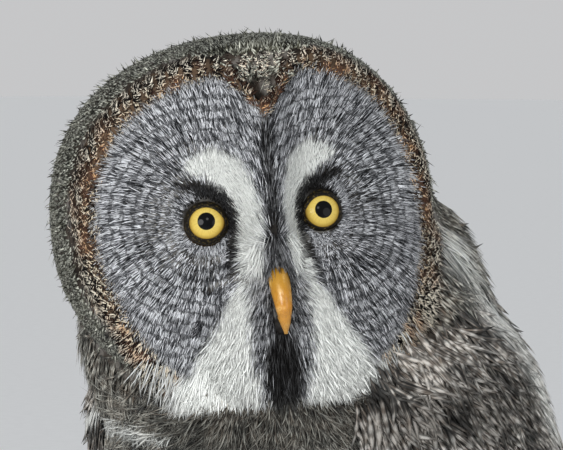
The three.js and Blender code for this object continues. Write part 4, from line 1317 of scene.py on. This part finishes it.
def make_eye(side, material):
    rows, around = 48, 64
    polar = np.linspace(0.01, np.pi - 0.01, rows)[:, None]
    angle = once_round(around)
    radius = EYE_RADIUS * np.sin(polar)
    forward = EYE_RADIUS * np.cos(polar)
    points = ring_points(angle, radius, radius, forward).reshape(-1, 3)
    faces = grid_faces(rows, around)
    faces += [tuple(range(around))[::-1], tuple(range((rows - 1) * around, rows * around))]
    name = f"eye_{SIDE_NAMES[side]}"
    piece = build_mesh(name + "_ball", at_eye(points, side), turned_outward(points, faces))
    reach = np.where(forward > 0, radius / IRIS_RADIUS, 2.0)
    values = columns(reach, 0.5 + 0.5 * np.cos(angle), 0.5 + 0.5 * np.sin(angle), 1)
    write_attribute(piece.data, "iris", values)
    finish_piece(piece, material, "iris", name)


LID_OPENING = [
    # degrees from straight out, over the top; share of the iris radius that stays open
    (-180, 1.02), (-166, 1.08), (-145, 1), (-90, 0.98), (-30, 1), (0, 0.99), (40, 0.9), (75, 0.82),
    (110, 0.8), (145, 0.84), (165, 0.92), (180, 1.02),
]


def make_lid(side, material):
    around = 96
    angle = np.linspace(-np.pi, np.pi, around, endpoint=False)
    opening = IRIS_RADIUS * profile(LID_OPENING, np.degrees(angle))[:, 0]
    outer = np.full(around, IRIS_RADIUS + LID_WIDTH)
    ripple = 0.12 * np.sin(angle * 31) + 0.08 * np.sin(angle * 17 + 1)

    def ball(r):
        return np.sqrt(np.maximum(EYE_RADIUS**2 - r**2, 0))

    sections = []
    for wider, height in ((0, -0.3), (0, 0.3), (0.3, 0.55)):
        sections.append((opening + wider, ball(opening) + height))
    for share, height in ((0.4, 0.8 + ripple), (0.6, 0.65 - ripple), (0.85, 0.75 + ripple)):
        middle = lerp(opening, outer, share)
        sections.append((middle, ball(middle) + height))
    for wider, height in ((0, 0.5), (0.5, -0.6), (0, -1.8), (-1.2, -0.6)):
        sections.append((outer + wider, ball(outer) + height))
    points = np.vstack([columns(np.cos(angle) * side * r, -f, np.sin(angle) * r) for r, f in sections])
    faces = grid_faces(len(sections), around)
    last = (len(sections) - 1) * around
    for j in range(around):
        k = (j + 1) % around
        faces.append((last + j, last + k, k, j))
    name = f"eyelid_{SIDE_NAMES[side]}"
    piece = build_mesh(name + "_rim", at_eye(points, side), turned_outward(points, faces))
    finish_piece(piece, material, "eyelid", name)


BILL_PARTS = [
    # name, line and sizes, rings
    ("bill_upper", [(0, -26, -20), (0, -39, -29.5), (0, -44, -39), (0, -44, -52.5)],
     [(0, 5.6, 6.6), (0.35, 4.9, 6.2), (0.7, 3.9, 4.5), (0.9, 2.2, 2.4), (1, 0.8, 0.8)], 40),
    ("bill_lower", [(0, -20, -34), (0, -28, -38), (0, -37, -47)],
     [(0, 5.5, 5), (0.5, 4, 3.4), (1, 1.2, 1)], 20),
]
NOSTRIL = np.array([5.6, -37, -24])
NOSTRIL_RADIUS = 1.7
NOSTRIL_DEPTH = 1.1


def make_bill(material):
    around = 40
    for name, line, sizes, rows in BILL_PARTS:
        form = Form(FACE, tube_rings(Line(line), sizes, (0, 1, 0), rows, around))
        points = form.points
        if name == "bill_upper":
            for side in (-1, 1):
                pit = np.linalg.norm(points - mirrored(NOSTRIL, side), axis=1) / NOSTRIL_RADIUS
                points = points - np.array([side, -0.3, 0]) * (NOSTRIL_DEPTH * np.exp(-(pit**2)))[:, None]
        piece = build_mesh(name + "_horn", face_to_body(points), turned_outward(points, form.faces))
        share = np.append(np.repeat(np.linspace(0, 1, rows), around), [0, 1])
        write_attribute(piece.data, "horn", columns(share, 0, 0, 1))
        finish_piece(piece, material, "bill_horn", name)


CLAW_SIZES = [(0, 2.6, 3.2), (0.5, 2.3, 2.8), (0.85, 1.3, 1.5), (1, 0.5, 0.5)]
CLAW_HEIGHTS = [(0, TOE_RADIUS - 0.5), (0.45, TOE_RADIUS + 1.6), (0.8, TOE_RADIUS - 1.8), (1, 0.9)]


def make_claws(material):
    for side, word in SIDE_NAMES.items():
        forms = []
        for toe in TOES:
            line = Line([toe_point(toe, toe[1] - 4 + CLAW_LENGTH * s, h, side) for s, h in CLAW_HEIGHTS])
            forms.append(Form(FOOT, tube_rings(line, CLAW_SIZES, (0, 0, 1), 24, 24)))
        piece = build_mesh(f"claws_{word}", *join_forms(forms))
        finish_piece(piece, material, "claw_horn", *(f"claw_{word}_{i + 1}" for i in range(len(TOES))))


def eye_material():
    s = Shader("iris_and_pupil", roughness=0.45, specular=0.02, coat=0.5)
    s.surface.inputs["Coat IOR"].default_value = 1.27
    reach, cosine, sine, _ = s.attribute("iris")
    spoke = s.vector(s.times(cosine, 14.0), s.times(sine, 14.0), s.times(reach, 2.0))
    fibre = s.noise(spoke, 1.6, 3.0)
    ring = s.ramp(reach, [
        (0.0, srgb(176, 144, 66)), (0.52, srgb(200, 178, 96)), (0.78, srgb(196, 170, 82)),
        (1.0, srgb(134, 104, 36)),
    ])
    color = s.mix(s.span(fibre, 0.4, 0.7, 0.0, 0.45), ring, srgb(168, 138, 62))
    color = s.mix(s.span(reach, 0.93, 1.04), color, srgb(40, 28, 8))
    edge = PUPIL_RADIUS / IRIS_RADIUS
    color = s.mix(s.span(reach, edge - 0.012, edge + 0.012, 1.0, 0.0), color, (0.0015, 0.0015, 0.002))
    return s.finish(color)


def lid_material():
    s = Shader("lid_skin", roughness=0.5, specular=0.12)
    grain = s.noise(s.place(), 900.0, 3.0)
    color = s.ramp(grain, [(0.35, srgb(11, 9, 7)), (0.56, srgb(24, 20, 14)), (0.72, srgb(96, 82, 44))])
    return s.finish(color, height=grain, bump=0.4)


def bill_material():
    s = Shader("bill_horn", roughness=0.38, specular=0.4, coat=0.25)
    share = s.attribute("horn")[0]
    grain = s.noise(s.place(), 260.0, 4.0)
    lines = s.noise(s.vector(s.times(share, 3.0), s.times(grain, 2.0), s.times(grain, 7.0)), 4.0, 3.0)
    color = s.ramp(share, [
        (0.0, srgb(126, 96, 28)), (0.35, srgb(166, 120, 22)), (0.7, srgb(178, 118, 14)),
        (1.0, srgb(164, 120, 48)),
    ])
    color = s.mix(s.span(grain, 0.48, 0.66, 0.0, 0.5), color, srgb(216, 176, 104))
    color = s.mix(s.span(lines, 0.5, 0.7, 0.0, 0.45), color, srgb(116, 74, 22))
    return s.finish(color, height=grain, bump=0.12)


def claw_material():
    s = Shader("claw_horn", roughness=0.3, specular=0.5, coat=0.3)
    grain = s.noise(s.place(), 300.0, 4.0)
    color = s.ramp(grain, [(0.3, srgb(18, 15, 13)), (0.6, srgb(38, 33, 29)), (0.85, srgb(74, 66, 58))])
    return s.finish(color, height=grain, bump=0.15)


# Floor, light and camera


FLOOR_SIZE = 40.0  # metres, from the middle to an edge
HORIZON = (0.565, 0.567, 0.575, 1)  # as bright as the floor under it, so that no edge shows
ZENITH = (0.62, 0.64, 0.66, 1)
LIGHTS = [
    # name, place, size and power, in metres and watts
    ("key", (0.35, -1.65, 0.62), 0.7, 15),
    ("fill", (1.7, -0.35, 0.5), 1.1, 7),
    ("catch", (1.3, -1.5, 1.25), 0.4, 4),
]
LIT_PLACE = Vector((0.0, -0.12, 0.3))
AZIMUTH = 42
ELEVATION = 2
DISTANCE = 2200
PIXEL = 0.469  # millimetres to a pixel of the photograph, at the face
FACE_PIXEL = (25.0, -7.6)  # how far the photograph's middle is right of and above the middle of the face
LENS_PIXELS = 4690.8
PICTURE_WIDTH = 563
SENSOR_WIDTH = 36


def make_floor():
    size = FLOOR_SIZE
    corners = [(-size, -size, 0), (size, -size, 0), (size, size, 0), (-size, size, 0)]
    mesh = bpy.data.meshes.new("floor")
    mesh.from_pydata(corners, [], [(0, 1, 2, 3)])
    floor = add_object("floor", mesh)
    s = Shader("floor_paint", roughness=0.9, specular=0.1)
    grain = s.noise(s.place(), 60.0, 3.0)
    mesh.materials.append(s.finish(s.ramp(grain, [(0.3, (0.87, 0.865, 0.86)), (0.7, (0.9, 0.895, 0.89))])))


def make_sky():
    world = bpy.data.worlds.new("studio")
    world.use_nodes = True
    nodes, links = world.node_tree.nodes, world.node_tree.links
    parts = nodes.new("ShaderNodeSeparateXYZ")
    links.new(nodes.new("ShaderNodeTexCoord").outputs["Generated"], parts.inputs[0])
    sky = nodes.new("ShaderNodeValToRGB")
    links.new(parts.outputs[2], sky.inputs[0])
    low, high = sky.color_ramp.elements
    low.position, high.position = 0.1, 0.5
    low.color, high.color = HORIZON, ZENITH
    links.new(sky.outputs[0], nodes["Background"].inputs["Color"])
    nodes["Background"].inputs["Strength"].default_value = 1.0
    bpy.context.scene.world = world
    bpy.context.scene.view_settings.view_transform = "Standard"


def make_lights():
    for name, place, size, power in LIGHTS:
        data = bpy.data.lights.new(name, "AREA")
        data.shape = "DISK"
        data.size = size
        data.energy = power
        lamp = add_object(name, data)
        lamp.location = place
        lamp.rotation_euler = (LIT_PLACE - lamp.location).to_track_quat("-Z", "Y").to_euler()


def make_camera():
    a, e = math.radians(AZIMUTH), math.radians(ELEVATION)
    right = np.array([math.cos(a), math.sin(a), 0])
    back = np.array([math.sin(a) * math.cos(e), -math.cos(a) * math.cos(e), math.sin(e)])
    up = np.cross(back, right)
    face = face_to_body(np.zeros((1, 3)))[0]
    target = face + right * FACE_PIXEL[0] * PIXEL + up * FACE_PIXEL[1] * PIXEL
    data = bpy.data.cameras.new("camera")
    data.sensor_fit = "HORIZONTAL"
    data.sensor_width = SENSOR_WIDTH
    data.lens = LENS_PIXELS / PICTURE_WIDTH * SENSOR_WIDTH
    data.clip_end = 100
    camera = add_object("camera", data)
    camera.location = Vector(to_metres(target + back * DISTANCE))
    camera.rotation_euler = Vector(-back).to_track_quat("-Z", "Y").to_euler()
    bpy.context.scene.camera = camera


def make_materials():
    white = srgb(240, 242, 238)
    grey = (srgb(22, 23, 25), srgb(108, 110, 114), srgb(232, 234, 238))
    olive = (srgb(13, 13, 11), srgb(100, 101, 90), srgb(212, 213, 200))
    dusk = (srgb(15, 15, 13), srgb(82, 82, 75), srgb(186, 187, 178))
    brown = (srgb(20, 17, 15), srgb(94, 91, 87), srgb(210, 208, 202))
    buff = (srgb(60, 56, 52), srgb(140, 134, 126), srgb(214, 210, 200))
    rust = srgb(150, 122, 96)
    return {
        "face": plumage("face_plumage", *grey, srgb(150, 148, 142), white, barbs=2.0, mottle=110.0,
                        shady=1.1, bar_edge=(0.3, 1.0), bar_depth=0.7),
        "ruff": ruff_plumage(),
        "head": plumage("head_plumage", *olive, srgb(150, 146, 124), white, barbs=3.0,
                        bar_depth=0.5, bands=1.7, banding=0.42),
        "neck": plumage("neck_plumage", *dusk, rust, white, barbs=6.0, mottle=60.0, cloudy=2.2, shady=0.6,
                        bands=3.0, banding=0.28),
        "body": plumage("body_plumage", *brown, rust, white, barbs=7.0, mottle=46.0, cloudy=3.2, shady=0.45,
                        bands=3.5, banding=0.25),
        "wing": vane_plumage(),
        "leg": plumage("leg_plumage", *buff, rust, white, barbs=4.0, mottle=70.0, bar_depth=0.5),
    }


def dress_skin(skin, material):
    """Gives the skin the same markings as the coat that grows from it, darkened as painted shade where it
    shows between the tufts.
    """
    count = len(skin.points)
    marks, phase = np.zeros((count, 4)), np.zeros(count)
    for region in SMOOTHING:
        here = skin.regions == region
        marks[here], phase[here] = markings(skin.points[here], region)
    # painted shade: the skin is made dark everywhere, darkest under face, head and neck, so that the gaps
    # between tufts read as shadow
    marks[:, 1] = np.maximum(marks[:, 1], np.where(skin.regions <= NECK, 0.8, 0.5))
    mesh = skin.piece.data
    write_attribute(mesh, "lie", columns(0, 0.5, 0.5, phase))
    write_attribute(mesh, "marks", marks)
    parts = ("facial_disc", "ruff", "thigh", "tarsus", "foot")
    pairs = [f"{part}_{side}" for part in parts for side in SIDE_NAMES.values()]
    finish_piece(skin.piece, material, "plumage_grey", "head", "neck", "torso", *pairs)


make_camera()
make_floor()
make_sky()
make_lights()
materials = make_materials()
skin = Skin(body_forms())
dress_skin(skin, materials["body"])
dress_face(skin, materials)
dress_bristles(skin, materials)
dress_eyes(skin, materials)
dress_cere(skin, materials)
dress_ruff(skin, materials)
dress_throat(skin, materials)
dress_head(skin, materials)
dress_body(skin, materials)
for side in (-1, 1):
    wing_vanes(side, materials["wing"])
    make_eye(side, eye_material())
    make_lid(side, lid_material())
tail_vanes(materials["wing"])
make_bill(bill_material())
make_claws(claw_material())
